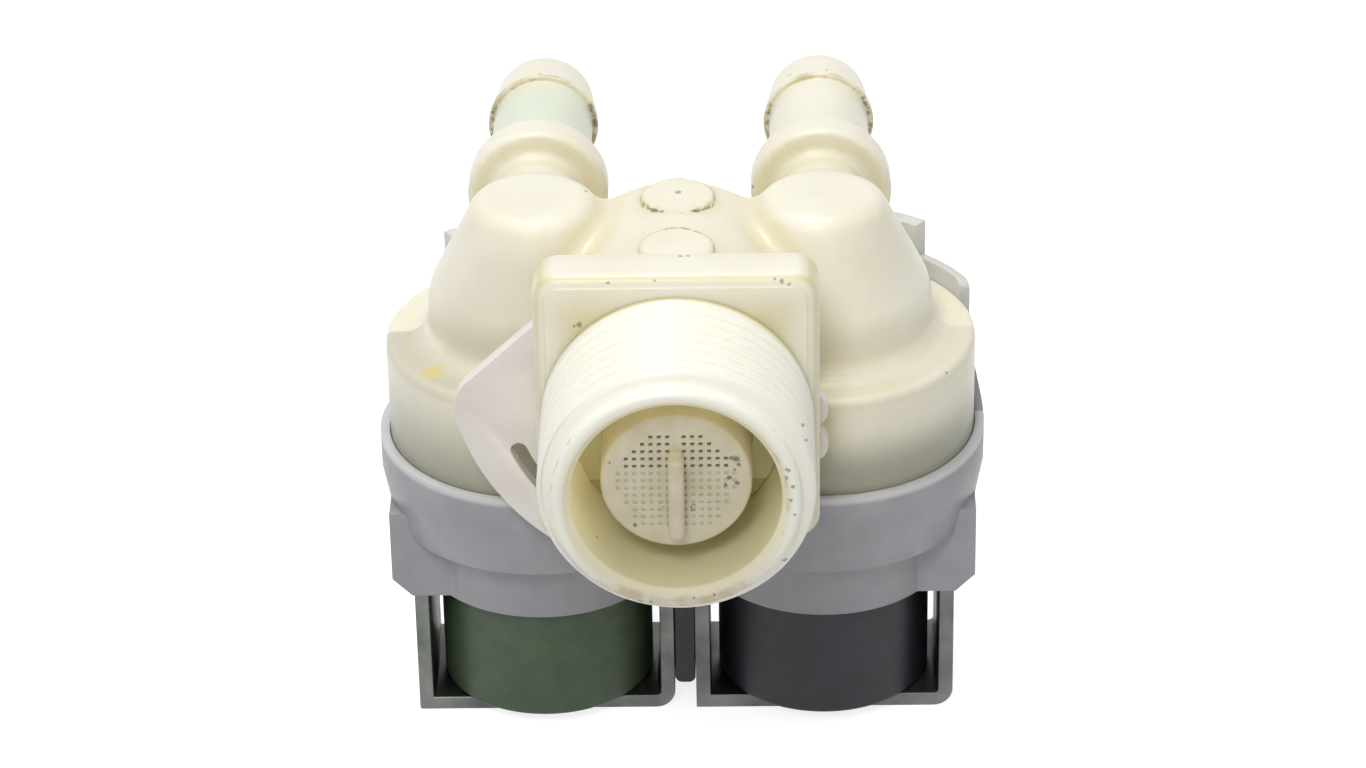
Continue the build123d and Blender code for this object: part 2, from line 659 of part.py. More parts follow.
# What repeats on each side, from the diaphragm down to the yoke
for side, axis_x in sides.items():
    side_plane = section(axis_x, chamber_y)
    side_axis = upright(axis_x, chamber_y)

    with BuildPart() as diaphragm:
        with BuildSketch(side_plane):
            with BuildLine():
                Polyline(
                    (insert_hub_r + touch_clearance, diaphragm_top_z),
                    (web_inner_r, diaphragm_top_z),
                    (bead_r - bead_width, diaphragm_top_z - web_drop),
                    (bead_r, ledge_z - touch_clearance),
                    (bead_r, guide_top_z + touch_clearance),
                    (bead_r - bead_width, guide_top_z + touch_clearance),
                    (bead_r - bead_width, diaphragm_bottom_z - web_drop),
                    (web_inner_r, diaphragm_bottom_z),
                    (insert_hub_r + touch_clearance, diaphragm_bottom_z),
                    close=True,
                )
            make_face()
        revolve(axis=side_axis)
    diaphragm.part.label = f"diaphragm_{side}"
    export_step(diaphragm.part, f"parts/diaphragm_{side}.step")

    with BuildPart() as diaphragm_insert:
        with BuildSketch(side_plane):
            with BuildLine():
                Polyline(
                    (pilot_r, insert_bottom_z),
                    (insert_r, insert_bottom_z),
                    (insert_r, insert_top_z),
                    (insert_hub_r, insert_top_z),
                    (insert_hub_r, insert_top_z + insert_hub_height),
                    (pilot_r, insert_top_z + insert_hub_height),
                    close=True,
                )
            make_face()
        revolve(axis=side_axis)
    diaphragm_insert.part.label = f"diaphragm_insert_{side}"
    export_step(diaphragm_insert.part, f"parts/diaphragm_insert_{side}.step")

    # Armature guide: a dished flange under the diaphragm and a tube closed at its foot
    with BuildPart() as armature_guide:
        with BuildSketch(side_plane):
            with BuildLine():
                Polyline(
                    (0, guide_end_z),
                    (guide_outer_r, guide_end_z),
                    (guide_outer_r, guide_bottom_z),
                    (bead_r, guide_bottom_z),
                    (bead_r, guide_top_z),
                    (bead_r - bead_width - guide_dish_wall, guide_top_z),
                    (bead_r - bead_width - guide_dish_wall, guide_top_z - guide_dish_depth),
                    (guide_inner_r, guide_top_z - guide_dish_depth),
                    (guide_inner_r, guide_floor_z),
                    (0, guide_floor_z),
                    close=True,
                )
            make_face()
        revolve(axis=side_axis)
    armature_guide.part.label = f"armature_guide_{side}"
    export_step(armature_guide.part, f"parts/armature_guide_{side}.step")

    # Plunger with a pocket for the rubber tip at its top and one for the spring at its foot
    tip_bottom_z = tip_top_z - tip_height
    with BuildPart() as plunger:
        with BuildSketch(side_plane):
            with BuildLine():
                Polyline(
                    (0, tip_bottom_z - touch_clearance),
                    (tip_r + touch_clearance, tip_bottom_z - touch_clearance),
                    (tip_r + touch_clearance, plunger_top_z),
                    (plunger_r, plunger_top_z),
                    (plunger_r, plunger_bottom_z),
                    (spring_pocket_r, plunger_bottom_z),
                    (spring_pocket_r, plunger_bottom_z + spring_pocket_depth),
                    (0, plunger_bottom_z + spring_pocket_depth),
                    close=True,
                )
            make_face()
        revolve(axis=side_axis)
    plunger.part.label = f"plunger_{side}"
    export_step(plunger.part, f"parts/plunger_{side}.step")

    with BuildPart() as plunger_tip:
        with BuildSketch(Plane((axis_x, chamber_y, tip_bottom_z))):
            Circle(tip_r)
        extrude(amount=tip_height)
    plunger_tip.part.label = f"plunger_tip_{side}"
    export_step(plunger_tip.part, f"parts/plunger_tip_{side}.step")

    # Spring between the guide's floor and the plunger's pocket
    spring_foot_z = guide_floor_z + spring_wire_r + touch_clearance
    spring_head_z = plunger_bottom_z + spring_pocket_depth - spring_wire_r - touch_clearance
    spring_length = spring_head_z - spring_foot_z
    with BuildPart() as plunger_spring:
        with BuildLine():
            coil_line = Helix(
                pitch=spring_length / spring_turns,
                height=spring_length,
                radius=spring_coil_r,
                center=(axis_x, chamber_y, spring_foot_z),
            )
        with BuildSketch(Plane(origin=coil_line @ 0, z_dir=coil_line % 0)):
            Circle(spring_wire_r)
        sweep(is_frenet=True)
    plunger_spring.part.label = f"plunger_spring_{side}"
    export_step(plunger_spring.part, f"parts/plunger_spring_{side}.step")

    # Yoke: a steel strip bent round into a frame, with one butt joint and a hole in its top and foot
    yoke_inner_r = yoke_bend_r - yoke_sheet
    with BuildPart() as yoke:
        with BuildSketch(section(axis_x, chamber_y - yoke_half_depth)):
            with BuildLine():
                FilletPolyline(
                    (-yoke_half_width, yoke_bottom_z),
                    (yoke_half_width, yoke_bottom_z),
                    (yoke_half_width, yoke_top_z),
                    (-yoke_half_width, yoke_top_z),
                    radius=[0, yoke_bend_r, yoke_bend_r, yoke_bend_r],
                    close=True,
                )
            make_face()
            with BuildLine():
                FilletPolyline(
                    (yoke_sheet - yoke_half_width, yoke_bottom_z + yoke_sheet),
                    (yoke_half_width - yoke_sheet, yoke_bottom_z + yoke_sheet),
                    (yoke_half_width - yoke_sheet, yoke_top_z - yoke_sheet),
                    (yoke_sheet - yoke_half_width, yoke_top_z - yoke_sheet),
                    radius=[0, yoke_inner_r, yoke_inner_r, yoke_inner_r],
                    close=True,
                )
            make_face(mode=Mode.SUBTRACT)
        extrude(amount=-2 * yoke_half_depth)
        with BuildSketch(Plane((axis_x, chamber_y, yoke_bottom_z))):
            Circle(sleeve_r + touch_clearance)
        extrude(amount=yoke_top_z - yoke_bottom_z, mode=Mode.SUBTRACT)
    yoke.part.label = f"yoke_{side}"
    export_step(yoke.part, f"parts/yoke_{side}.step")

    # Steel sleeves in the yoke's two holes, one node of two rings
    with BuildPart() as pole_sleeves:
        for foot_z in (yoke_bottom_z, yoke_top_z - sleeve_length):
            with BuildSketch(Plane((axis_x, chamber_y, foot_z))):
                Circle(sleeve_r)
                Circle(guide_outer_r + fit_clearance, mode=Mode.SUBTRACT)
            extrude(amount=sleeve_length)
    pole_sleeves.part.label = f"pole_sleeves_{side}"
    export_step(pole_sleeves.part, f"parts/pole_sleeves_{side}.step")

    # Coil jacket: a moulded drum, hollow for the bobbin, with a block for the terminals at the rear
    block_front_y = chamber_y + bobbin_flange_r + touch_clearance
    block_depth = chamber_y + coil_r + terminal_block_depth - block_front_y
    blade_start_y = block_front_y + coil_wall
    blade_places = [(axis_x + way * terminal_spacing / 2, terminal_block_z) for way in (-1, 1)]
    with BuildPart() as coil_jacket:
        with BuildSketch(Plane((axis_x, chamber_y, coil_bottom_z))):
            Circle(coil_r)
        extrude(amount=coil_top_z - coil_bottom_z)
        fillet(edges().filter_by(GeomType.CIRCLE).sort_by(Axis.Z)[0], coil_foot_round)
        with BuildSketch(facing(block_front_y)):
            with Locations((axis_x, terminal_block_z)):
                RectangleRounded(2 * terminal_block_half_width, terminal_block_height, terminal_block_round)
        extrude(amount=-block_depth)
        with BuildSketch(side_plane):
            with BuildLine():
                Polyline(
                    (0, coil_bottom_z),
                    (bobbin_inner_r, coil_bottom_z),
                    (bobbin_inner_r, coil_bottom_z + coil_end_wall),
                    (coil_r - coil_wall, coil_bottom_z + coil_end_wall),
                    (coil_r - coil_wall, coil_top_z - coil_end_wall),
                    (bobbin_inner_r, coil_top_z - coil_end_wall),
                    (bobbin_inner_r, coil_top_z),
                    (0, coil_top_z),
                    close=True,
                )
            make_face()
        revolve(axis=side_axis, mode=Mode.SUBTRACT)
        with BuildSketch(facing(blade_start_y)):
            with Locations(*blade_places):
                Rectangle(terminal_width + 2 * touch_clearance, terminal_thickness + 2 * touch_clearance)
        extrude(amount=-block_depth, mode=Mode.SUBTRACT)
    coil_jacket.part.label = f"coil_jacket_{side}"
    export_step(coil_jacket.part, f"parts/coil_jacket_{side}.step")

    # Two spade blades, in one node
    with BuildPart() as terminals:
        with BuildSketch(facing(blade_start_y + touch_clearance)):
            with Locations(*blade_places):
                Rectangle(terminal_width, terminal_thickness)
        extrude(amount=-(block_depth - coil_wall + terminal_reach))
        chamfer(edges().filter_by(Axis.Z).group_by(Axis.Y)[-1], terminal_point)
    terminals.part.label = f"terminals_{side}"
    export_step(terminals.part, f"parts/terminals_{side}.step")

    # Bobbin and its winding
    bobbin_foot_z = coil_bottom_z + coil_end_wall + touch_clearance
    bobbin_head_z = coil_top_z - coil_end_wall - touch_clearance
    with BuildPart() as coil_bobbin:
        with BuildSketch(side_plane):
            with BuildLine():
                Polyline(
                    (bobbin_inner_r, bobbin_foot_z),
                    (bobbin_flange_r, bobbin_foot_z),
                    (bobbin_flange_r, bobbin_foot_z + bobbin_flange),
                    (bobbin_outer_r, bobbin_foot_z + bobbin_flange),
                    (bobbin_outer_r, bobbin_head_z - bobbin_flange),
                    (bobbin_flange_r, bobbin_head_z - bobbin_flange),
                    (bobbin_flange_r, bobbin_head_z),
                    (bobbin_inner_r, bobbin_head_z),
                    close=True,
                )
            make_face()
        revolve(axis=side_axis)
    coil_bobbin.part.label = f"coil_bobbin_{side}"
    export_step(coil_bobbin.part, f"parts/coil_bobbin_{side}.step")

    with BuildPart() as coil_winding:
        with BuildSketch(Plane((axis_x, chamber_y, bobbin_foot_z + bobbin_flange + winding_clearance))):
            Circle(bobbin_flange_r - winding_clearance)
            Circle(bobbin_outer_r + winding_clearance, mode=Mode.SUBTRACT)
        extrude(amount=bobbin_head_z - bobbin_foot_z - 2 * (bobbin_flange + winding_clearance))
    coil_winding.part.label = f"coil_winding_{side}"
    export_step(coil_winding.part, f"parts/coil_winding_{side}.step")
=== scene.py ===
# Twin solenoid inlet valve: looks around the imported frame. Shapes are worked out in millimetres.
import json
import bmesh
import bpy
import numpy as np
from mathutils import Matrix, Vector
from mathutils.bvhtree import BVHTree


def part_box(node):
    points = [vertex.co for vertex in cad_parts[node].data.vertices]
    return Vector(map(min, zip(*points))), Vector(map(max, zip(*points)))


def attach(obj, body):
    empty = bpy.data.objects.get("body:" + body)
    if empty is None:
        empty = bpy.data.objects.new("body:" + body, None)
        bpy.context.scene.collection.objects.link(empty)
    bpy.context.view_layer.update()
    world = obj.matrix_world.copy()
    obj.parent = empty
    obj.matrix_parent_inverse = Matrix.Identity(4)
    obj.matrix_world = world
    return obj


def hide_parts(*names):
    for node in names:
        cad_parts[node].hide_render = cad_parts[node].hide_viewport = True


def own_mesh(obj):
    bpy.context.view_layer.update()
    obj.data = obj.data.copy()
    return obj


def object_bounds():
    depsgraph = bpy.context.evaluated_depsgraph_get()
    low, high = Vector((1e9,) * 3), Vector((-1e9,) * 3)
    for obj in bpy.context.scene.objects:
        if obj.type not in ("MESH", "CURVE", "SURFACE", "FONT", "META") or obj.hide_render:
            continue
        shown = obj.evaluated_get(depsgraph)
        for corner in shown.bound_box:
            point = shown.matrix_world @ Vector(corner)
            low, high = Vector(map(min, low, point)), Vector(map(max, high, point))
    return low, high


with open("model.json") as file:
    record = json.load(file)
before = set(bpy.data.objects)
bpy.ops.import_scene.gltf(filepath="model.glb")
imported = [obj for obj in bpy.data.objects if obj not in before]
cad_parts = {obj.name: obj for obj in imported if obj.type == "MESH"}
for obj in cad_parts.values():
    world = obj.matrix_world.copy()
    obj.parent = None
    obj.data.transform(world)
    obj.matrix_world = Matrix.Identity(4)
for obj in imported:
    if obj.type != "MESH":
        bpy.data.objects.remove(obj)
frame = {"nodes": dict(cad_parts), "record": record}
cadBox = [list(corner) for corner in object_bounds()]
nodes = frame["nodes"]


# Lowest and highest corner of a frame node, in millimetres
def nodeBox(name):
    low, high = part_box(name)
    return np.array(low) * 1000, np.array(high) * 1000


bodyLow, bodyHigh = nodeBox("valve_body")
guideLow, guideHigh = nodeBox("armature_guide_right")
chamberX, chamberY = (guideLow[0] + guideHigh[0]) / 2, (guideLow[1] + guideHigh[1]) / 2
strainerLow, strainerHigh = nodeBox("inlet_strainer")
strainerFinReach = 2.4  # how far its fin stands out in front of its face
strainerFaceY = strainerLow[1] + strainerFinReach
print("frame loaded, chambers at", chamberX, chamberY)

# Camera, worked out from the ellipses of the spigot, the chambers and the collar
view = {"place": (7.4, -390.0, 224.4), "azimuth": -1.0, "elevation": 29.5, "roll": 1.05, "focal": 4645.2,
        "width": 1366, "height": 768}


# Camera's right, up and back directions from azimuth, elevation and roll
def cameraAxes():
    a, e, r = (np.radians(view[key]) for key in ("azimuth", "elevation", "roll"))
    forward = np.array([np.sin(a) * np.cos(e), np.cos(a) * np.cos(e), -np.sin(e)])
    right = np.array([np.cos(a), -np.sin(a), 0])
    up = np.cross(right, forward)
    return right * np.cos(r) - up * np.sin(r), up * np.cos(r) + right * np.sin(r), -forward


# Way from the camera through a pixel of the photo
def rayThrough(u, v):
    right, up, back = cameraAxes()
    ray = right * (u - view["width"] / 2) - up * (v - view["height"] / 2) - back * view["focal"]
    return ray / np.linalg.norm(ray)


# Matrix whose columns are three directions and a place
def placed(side, up, back, place):
    matrix = np.eye(4)
    for column, values in enumerate((side, up, back, place)):
        matrix[:3, column] = values
    return Matrix(matrix.tolist())


def placeCamera():
    data = bpy.data.cameras.new("camera")
    data.sensor_width = 36
    data.lens = data.sensor_width * view["focal"] / view["width"]
    data.clip_start, data.clip_end = 0.02, 20
    camera = bpy.data.objects.new("camera", data)
    camera.matrix_world = placed(*cameraAxes(), np.array(view["place"]) / 1000)
    bpy.context.scene.collection.objects.link(camera)
    bpy.context.scene.camera = camera


placeCamera()
print("camera placed")


# Polyline whose corners are arcs: each arc starts radius * tan(turn / 2) before its corner
def roundedLine(points, radii, steps=6):
    points = np.array(points, float)
    line = [points[:1]]
    for before, corner, after, radius in zip(points[:-2], points[1:-1], points[2:], radii):
        if radius == 0:
            line.append(corner[None])
            continue
        back, ahead = before - corner, after - corner
        back, ahead = back / np.linalg.norm(back), ahead / np.linalg.norm(ahead)
        half = np.arccos(np.clip(back @ ahead, -1, 1)) / 2
        middle = corner + (back + ahead) / np.linalg.norm(back + ahead) * radius / np.sin(half)
        start = corner + back * radius / np.tan(half) - middle
        end = corner + ahead * radius / np.tan(half) - middle
        spread = np.arccos(np.clip(start @ end / radius ** 2, -1, 1))
        share = np.linspace(0, 1, steps + 1)[:, None]
        arc = start * np.sin((1 - share) * spread) + end * np.sin(share * spread)
        line.append(middle + arc / np.sin(spread))
    line.append(points[-1:])
    return np.concatenate(line)


# Quads between neighbouring points of a grid stored row by row
def gridQuads(rows, columns, wrapRows=False):
    row = np.arange(rows if wrapRows else rows - 1)[:, None]
    column = np.arange(columns)[None]
    nextRow, nextColumn = (row + 1) % rows, (column + 1) % columns
    corners = [row * columns + column, row * columns + nextColumn,
               nextRow * columns + nextColumn, nextRow * columns + column]
    return np.stack([np.broadcast_to(c, (row.size, columns)) for c in corners], -1).reshape(-1, 4)


# Turns a closed shell's faces outwards: its signed volume is the sum of corner triple products
def outward(points, quads):
    a, b, c, d = (points[quads[:, i]] for i in range(4))
    volume = np.einsum("ij,ij->", a, np.cross(b, c)) + np.einsum("ij,ij->", a, np.cross(c, d))
    return (points, quads) if volume > 0 else (points, quads[:, ::-1])


# Mesh in metres from points in millimetres
def makeMesh(name, points, quads):
    mesh = bpy.data.meshes.new(name)
    mesh.vertices.add(len(points))
    mesh.vertices.foreach_set("co", (points / 1000).astype(np.float32).ravel())
    mesh.loops.add(quads.size)
    mesh.loops.foreach_set("vertex_index", quads.astype(np.int32).ravel())
    mesh.polygons.add(len(quads))
    mesh.polygons.foreach_set("loop_start", np.arange(0, quads.size, 4, dtype=np.int32))
    mesh.update(calc_edges=True)
    mesh.shade_smooth()
    return mesh


def makeObject(name, mesh, material):
    piece = bpy.data.objects.new(name, mesh)
    bpy.context.scene.collection.objects.link(piece)
    mesh.materials.clear()
    mesh.materials.append(material)
    return piece


# Several (points, quads) shells as one
def joinShells(*shells):
    offsets = np.cumsum([0] + [len(points) for points, quads in shells])
    points = np.concatenate([points for points, quads in shells])
    quads = np.concatenate([quads + offset for (points_, quads), offset in zip(shells, offsets)])
    return points, quads


# Closed section (radius, y) turned about an axis along Y: x = r cos t, z = r sin t
def turnedShell(loop, centreX, centreZ, count):
    angle = np.linspace(0, 2 * np.pi, count, endpoint=False)
    radius, depth = loop[:, :1], loop[:, 1:]
    x = centreX + radius * np.cos(angle)
    z = centreZ + radius * np.sin(angle)
    points = np.stack([x, np.broadcast_to(depth, x.shape), z], -1).reshape(-1, 3)
    return outward(points, gridQuads(len(loop), count, wrapRows=True))


# Signed distance to a turned shape: to the nearest stretch of its section line, and below nothing where
# an outward ray crosses the line an odd number of times
def turnedDistance(radius, height, line):
    nearest = np.full(radius.shape, np.inf)
    inside = np.zeros(radius.shape, bool)
    for (r0, h0), (r1, h1) in zip(line[:-1], line[1:]):
        runR, runH = r1 - r0, h1 - h0
        length = runR ** 2 + runH ** 2
        if length == 0 or (r0 == 0 and r1 == 0):
            continue
        share = np.clip(((radius - r0) * runR + (height - h0) * runH) / length, 0, 1)
        nearest = np.minimum(nearest, (radius - r0 - share * runR) ** 2 + (height - h0 - share * runH) ** 2)
        if h0 != h1:
            crossed = (height >= min(h0, h1)) & (height < max(h0, h1))
            inside ^= crossed & (r0 + (height - h0) * runR / runH > radius)
    nearest = np.sqrt(nearest)
    return np.where(inside, -nearest, nearest)


# Union of two distances, lowered near the crease by reach / 4 times the square of their closeness
def blended(a, b, reach):
    closeness = np.maximum(reach - np.abs(a - b), 0) / reach
    return np.minimum(a, b) - closeness ** 2 * reach / 4


# Skin of a field: one point in each cell that the surface passes, at the mean of the crossings on the
# cell's edges, and a quad across each edge whose ends differ in sign
def netSurface(field, low, high, step):
    axes = [np.arange(a - 1.5 * step, b + 2 * step, step) for a, b in zip(low, high)]
    value = field(*np.meshgrid(*axes, indexing="ij"))
    cells = tuple(n - 1 for n in value.shape)
    total, count, quads = np.zeros(cells + (3,)), np.zeros(cells), []
    for d in range(3):
        e, f = (d + 1) % 3, (d + 2) % 3
        turned = np.moveaxis(value, (d, e, f), (0, 1, 2))
        start, end = turned[:-1], turned[1:]
        crossing = (start < 0) != (end < 0)
        share = np.where(crossing, start / np.where(crossing, start - end, 1), 0)
        along = axes[d][:-1, None, None] + step * share
        position = np.stack(np.broadcast_arrays(along, axes[e][None, :, None], axes[f][None, None]), -1)
        totalView, countView = (np.moveaxis(cell, (d, e, f), (0, 1, 2)) for cell in (total, count))
        for i in (0, 1):
            for j in (0, 1):
                part = (slice(None), slice(i, crossing.shape[1] - 1 + i), slice(j, crossing.shape[2] - 1 + j))
                countView += crossing[part]
                sums = position[part] * crossing[part][..., None]
                for place, axis in enumerate((d, e, f)):
                    totalView[..., axis] += sums[..., place]
    used = count > 0
    ids = np.full(cells, -1)
    ids[used] = np.arange(used.sum())
    points = total[used] / count[used][:, None]
    for d in range(3):
        e, f = (d + 1) % 3, (d + 2) % 3
        turned, idView = (np.moveaxis(grid, (d, e, f), (0, 1, 2)) for grid in (value, ids))
        crossing = ((turned[:-1] < 0) != (turned[1:] < 0))[:, 1:-1, 1:-1]
        a, b, c = np.nonzero(crossing)
        quad = [idView[a, b, c], idView[a, b + 1, c], idView[a, b + 1, c + 1], idView[a, b, c + 1]]
        quad = np.stack(quad, -1)
        leaving = turned[:-1][:, 1:-1, 1:-1][a, b, c] < 0
        quads.append(np.where(leaving[:, None], quad, quad[:, ::-1]))
    return points, np.concatenate(quads)


# Direction in which a field grows fastest, by central differences
def slopeOf(field, points, reach=0.02):
    slope = np.empty_like(points)
    for axis in range(3):
        ahead, behind = points.copy(), points.copy()
        ahead[:, axis] += reach
        behind[:, axis] -= reach
        slope[:, axis] = (field(*ahead.T) - field(*behind.T)) / (2 * reach)
    return slope / np.maximum(np.linalg.norm(slope, axis=1), 1e-6)[:, None]


# Falls from 1 at the centre to 0 at the given distance from it
def ringBand(value, centre, width):
    return np.clip(1 - np.abs(value - centre) / width, 0, 1)


# Smooth climb from 0 at the first value to 1 at the second
def smoothStep(value, first, second):
    share = np.clip((value - first) / (second - first), 0, 1)
    return share * share * (3 - 2 * share)


# sRGB hex to linear red, green and blue
def toLinear(hexColour):
    channels = np.array([int(hexColour[i:i + 2], 16) for i in (1, 3, 5)]) / 255
    linear = np.where(channels <= 0.04045, channels / 12.92, ((channels + 0.055) / 1.055) ** 2.4)
    return (*linear, 1.0)


# Adds a node: settings are its own properties, values its sockets, links give (node, output) for a socket
def addNode(tree, kind, settings=None, values=None, links=None):
    node = tree.nodes.new(kind)
    for key, value in (settings or {}).items():
        setattr(node, key, value)
    for key, value in (values or {}).items():
        node.inputs[key].default_value = value
    for key, (source, output) in (links or {}).items():
        tree.links.new(source.outputs[output], node.inputs[key])
    return node


# New material with its shader and Object coordinates. Values set the shader's own sockets.
def startMaterial(name, **values):
    material = bpy.data.materials.new(name)
    material.use_nodes = True
    tree = material.node_tree
    shader = tree.nodes["Principled BSDF"]
    for key, value in values.items():
        shader.inputs[key.replace("_", " ")].default_value = value
    place = addNode(tree, "ShaderNodeTexCoord")
    return material, tree, shader, place


# Noise on Object coordinates with grains of a given size in millimetres
def grainNoise(tree, place, sizeMm, detail=4):
    return addNode(tree, "ShaderNodeTexNoise", None, {"Scale": 1000 / sizeMm, "Detail": detail},
                   {"Vector": (place, "Object")})


# One step of arithmetic on a socket and on a second socket or a number
def sumOf(tree, operation, first, second):
    links = {0: first, 1: second} if isinstance(second, tuple) else {0: first}
    node = addNode(tree, "ShaderNodeMath", {"operation": operation}, None, links)
    if not isinstance(second, tuple):
        node.inputs[1].default_value = second
    return (node, "Value")


# A value between low and high, mapped to the stretch between two outcomes and held inside it
def mapped(tree, value, low=0, high=1, outcomes=(0, 1)):
    ends = {"From Min": low, "From Max": high, "To Min": outcomes[0], "To Max": outcomes[1]}
    node = addNode(tree, "ShaderNodeMapRange", None, ends, {"Value": value})
    return (node, "Result")


# Two hex colours mixed by noise of a given size in millimetres
def cloudColour(tree, place, sizeMm, colours, detail=3, spread=(0.35, 0.65)):
    noise = grainNoise(tree, place, sizeMm, detail)
    ramp = addNode(tree, "ShaderNodeValToRGB", None, None, {"Fac": (noise, "Fac")})
    for stop, position, colour in zip(ramp.color_ramp.elements, spread, colours):
        stop.position = position
        stop.color = toLinear(colour)
    return (ramp, "Color")


# Lays a hex colour over another by a mask, up to a given strength
def laidOver(tree, under, mask, hexColour, strength=1.0):
    share = sumOf(tree, "MULTIPLY", mask, strength)
    mixed = addNode(tree, "ShaderNodeMix", {"data_type": "RGBA"}, {"B": toLinear(hexColour)},
                    {"Factor": share, "A": under})
    return (mixed, "Result")


# Mask from a mesh attribute: smooth where broken is 0, else eaten away by noise of that size in millimetres
def attributeMask(tree, place, name, brokenMm=0, eaten=(0.34, 0.52)):
    held = addNode(tree, "ShaderNodeAttribute", {"attribute_name": name})
    if brokenMm == 0:
        return (held, "Fac")
    fleck = grainNoise(tree, place, brokenMm)
    return mapped(tree, sumOf(tree, "MULTIPLY", (held, "Fac"), (fleck, "Fac")), *eaten)


# Mask of dirt specks (x, y, z, radius): each is full within half its radius, and noise bends its outline
def speckMask(tree, place, specks, wobbleMm=0.22):
    noise = grainNoise(tree, place, 0.5, 2)
    push = addNode(tree, "ShaderNodeVectorMath", {"operation": "MULTIPLY_ADD"},
                   {1: (wobbleMm * 0.002,) * 3, 2: (-wobbleMm * 0.001,) * 3}, {0: (noise, "Color")})
    bent = addNode(tree, "ShaderNodeVectorMath", {"operation": "ADD"}, None,
                   {0: (place, "Object"), 1: (push, "Vector")})
    mask = None
    for x, y, z, radius in specks:
        middle = (x / 1000, y / 1000, z / 1000)
        away = addNode(tree, "ShaderNodeVectorMath", {"operation": "DISTANCE"}, {1: middle},
                       {0: (bent, "Vector")})
        spot = mapped(tree, (away, "Value"), radius / 1000, radius / 2000)
        mask = spot if mask is None else sumOf(tree, "MAXIMUM", mask, spot)
    return mask


# Links a (node, output) to a socket of the shader
def linkTo(tree, source, shader, socket):
    tree.links.new(source[0].outputs[source[1]], shader.inputs[socket])


# Fine moulded grain: noise of a given size as bump of a given height
def grainBump(tree, place, shader, sizeMm, strength, heightMm=0.02):
    noise = grainNoise(tree, place, sizeMm)
    bump = addNode(tree, "ShaderNodeBump", None, {"Strength": strength, "Distance": heightMm / 1000},
                   {"Height": (noise, "Fac")})
    linkTo(tree, (bump, "Normal"), shader, "Normal")


# Roughness that drifts between two values with noise of a given size
def unevenGloss(tree, place, shader, sizeMm, low, high):
    rough = mapped(tree, (grainNoise(tree, place, sizeMm), "Fac"), outcomes=(low, high))
    linkTo(tree, rough, shader, "Roughness")


# Natural nylon 6, yellowed in use. Painted light: it glows a little where light passes through the bore's
# wall, and the bore and the spigot are painted paler. Painted shade: olive in its corners, grey below, shadow
# lines among the dirt and part of the brown on the rim's foot.
# Each layer is an attribute with its strength and the size in mm of the noise that breaks it up, or 0.
creamLook = {
    "light": "#F5F0DF", "dark": "#EFE9D4", "thread": "#FBF8EA", "hollow": "#DAD09E", "boreGlow": "#FCF6CE",
    "lowShade": "#9C9B88", "greenGlow": "#CFE4CE", "stain": "#E0CC6A", "brown": "#B59F74", "grime": "#5E5038",
    "speck": "#55483A", "lightThrough": "#7A735A",
    "layers": [("thread", 1.0, 0), ("hollow", 0.95, 0), ("boreGlow", 1.0, 0), ("lowShade", 0.95, 0),
               ("greenGlow", 0.6, 0), ("stain", 0.75, 0), ("brown", 0.55, 2.2), ("grime", 0.75, 0.9)],
}


def mouldedCreamNylon(specks):
    material, tree, shader, place = startMaterial(
        "mouldedCreamNylon", IOR=1.53, Subsurface_Weight=0.3, Subsurface_Scale=0.0025)
    shader.inputs["Subsurface Radius"].default_value = (1.0, 0.85, 0.5)
    colour = cloudColour(tree, place, 9, (creamLook["light"], creamLook["dark"]))
    for name, strength, brokenMm in creamLook["layers"]:
        colour = laidOver(tree, colour, attributeMask(tree, place, name, brokenMm), creamLook[name], strength)
    colour = laidOver(tree, colour, speckMask(tree, place, specks), creamLook["speck"], 0.62)
    linkTo(tree, colour, shader, "Base Color")
    # Painted light: an emitted glow in the bore stands for light through its wall
    shader.inputs["Emission Color"].default_value = toLinear(creamLook["lightThrough"])
    linkTo(tree, attributeMask(tree, place, "lightThrough"), shader, "Emission Strength")
    unevenGloss(tree, place, shader, 5, 0.3, 0.42)
    grainBump(tree, place, shader, 1.6, 0.12)
    return material


# Strainer's natural nylon: dirty grey-beige, and on its rim light yellow above a level line and olive below
strainerLook = {"light": "#D8D1BA", "dark": "#CDC5AC", "speck": "#5A4C38", "above": "#EEE6BC",
                "below": "#CFC58C", "rimInside": 7.35, "rimSplitZ": -4.95}


def strainerNylon(specks):
    material, tree, shader, place = startMaterial(
        "mouldedNaturalNylon", IOR=1.53, Subsurface_Weight=0.25, Subsurface_Scale=0.002)
    colour = cloudColour(tree, place, 3, (strainerLook["light"], strainerLook["dark"]))
    colour = laidOver(tree, colour, speckMask(tree, place, specks, 0.3), strainerLook["speck"], 0.8)
    split = addNode(tree, "ShaderNodeSeparateXYZ", None, None, {"Vector": (place, "Object")})
    flat = addNode(tree, "ShaderNodeCombineXYZ", None, None, {"X": (split, "X"), "Y": (split, "Z")})
    out = addNode(tree, "ShaderNodeVectorMath", {"operation": "LENGTH"}, None, {0: (flat, "Vector")})
    rim = sumOf(tree, "GREATER_THAN", (out, "Value"), strainerLook["rimInside"] / 1000)
    aboveSplit = sumOf(tree, "GREATER_THAN", (split, "Z"), strainerLook["rimSplitZ"] / 1000)
    sides = {"A": toLinear(strainerLook["below"]), "B": toLinear(strainerLook["above"])}
    rimTone = addNode(tree, "ShaderNodeMix", {"data_type": "RGBA"}, sides, {"Factor": aboveSplit})
    mixed = addNode(tree, "ShaderNodeMix", {"data_type": "RGBA"}, None,
                    {"Factor": rim, "A": colour, "B": (rimTone, "Result")})
    linkTo(tree, (mixed, "Result"), shader, "Base Color")
    unevenGloss(tree, place, shader, 3, 0.42, 0.55)
    grainBump(tree, place, shader, 0.8, 0.2)
    return material
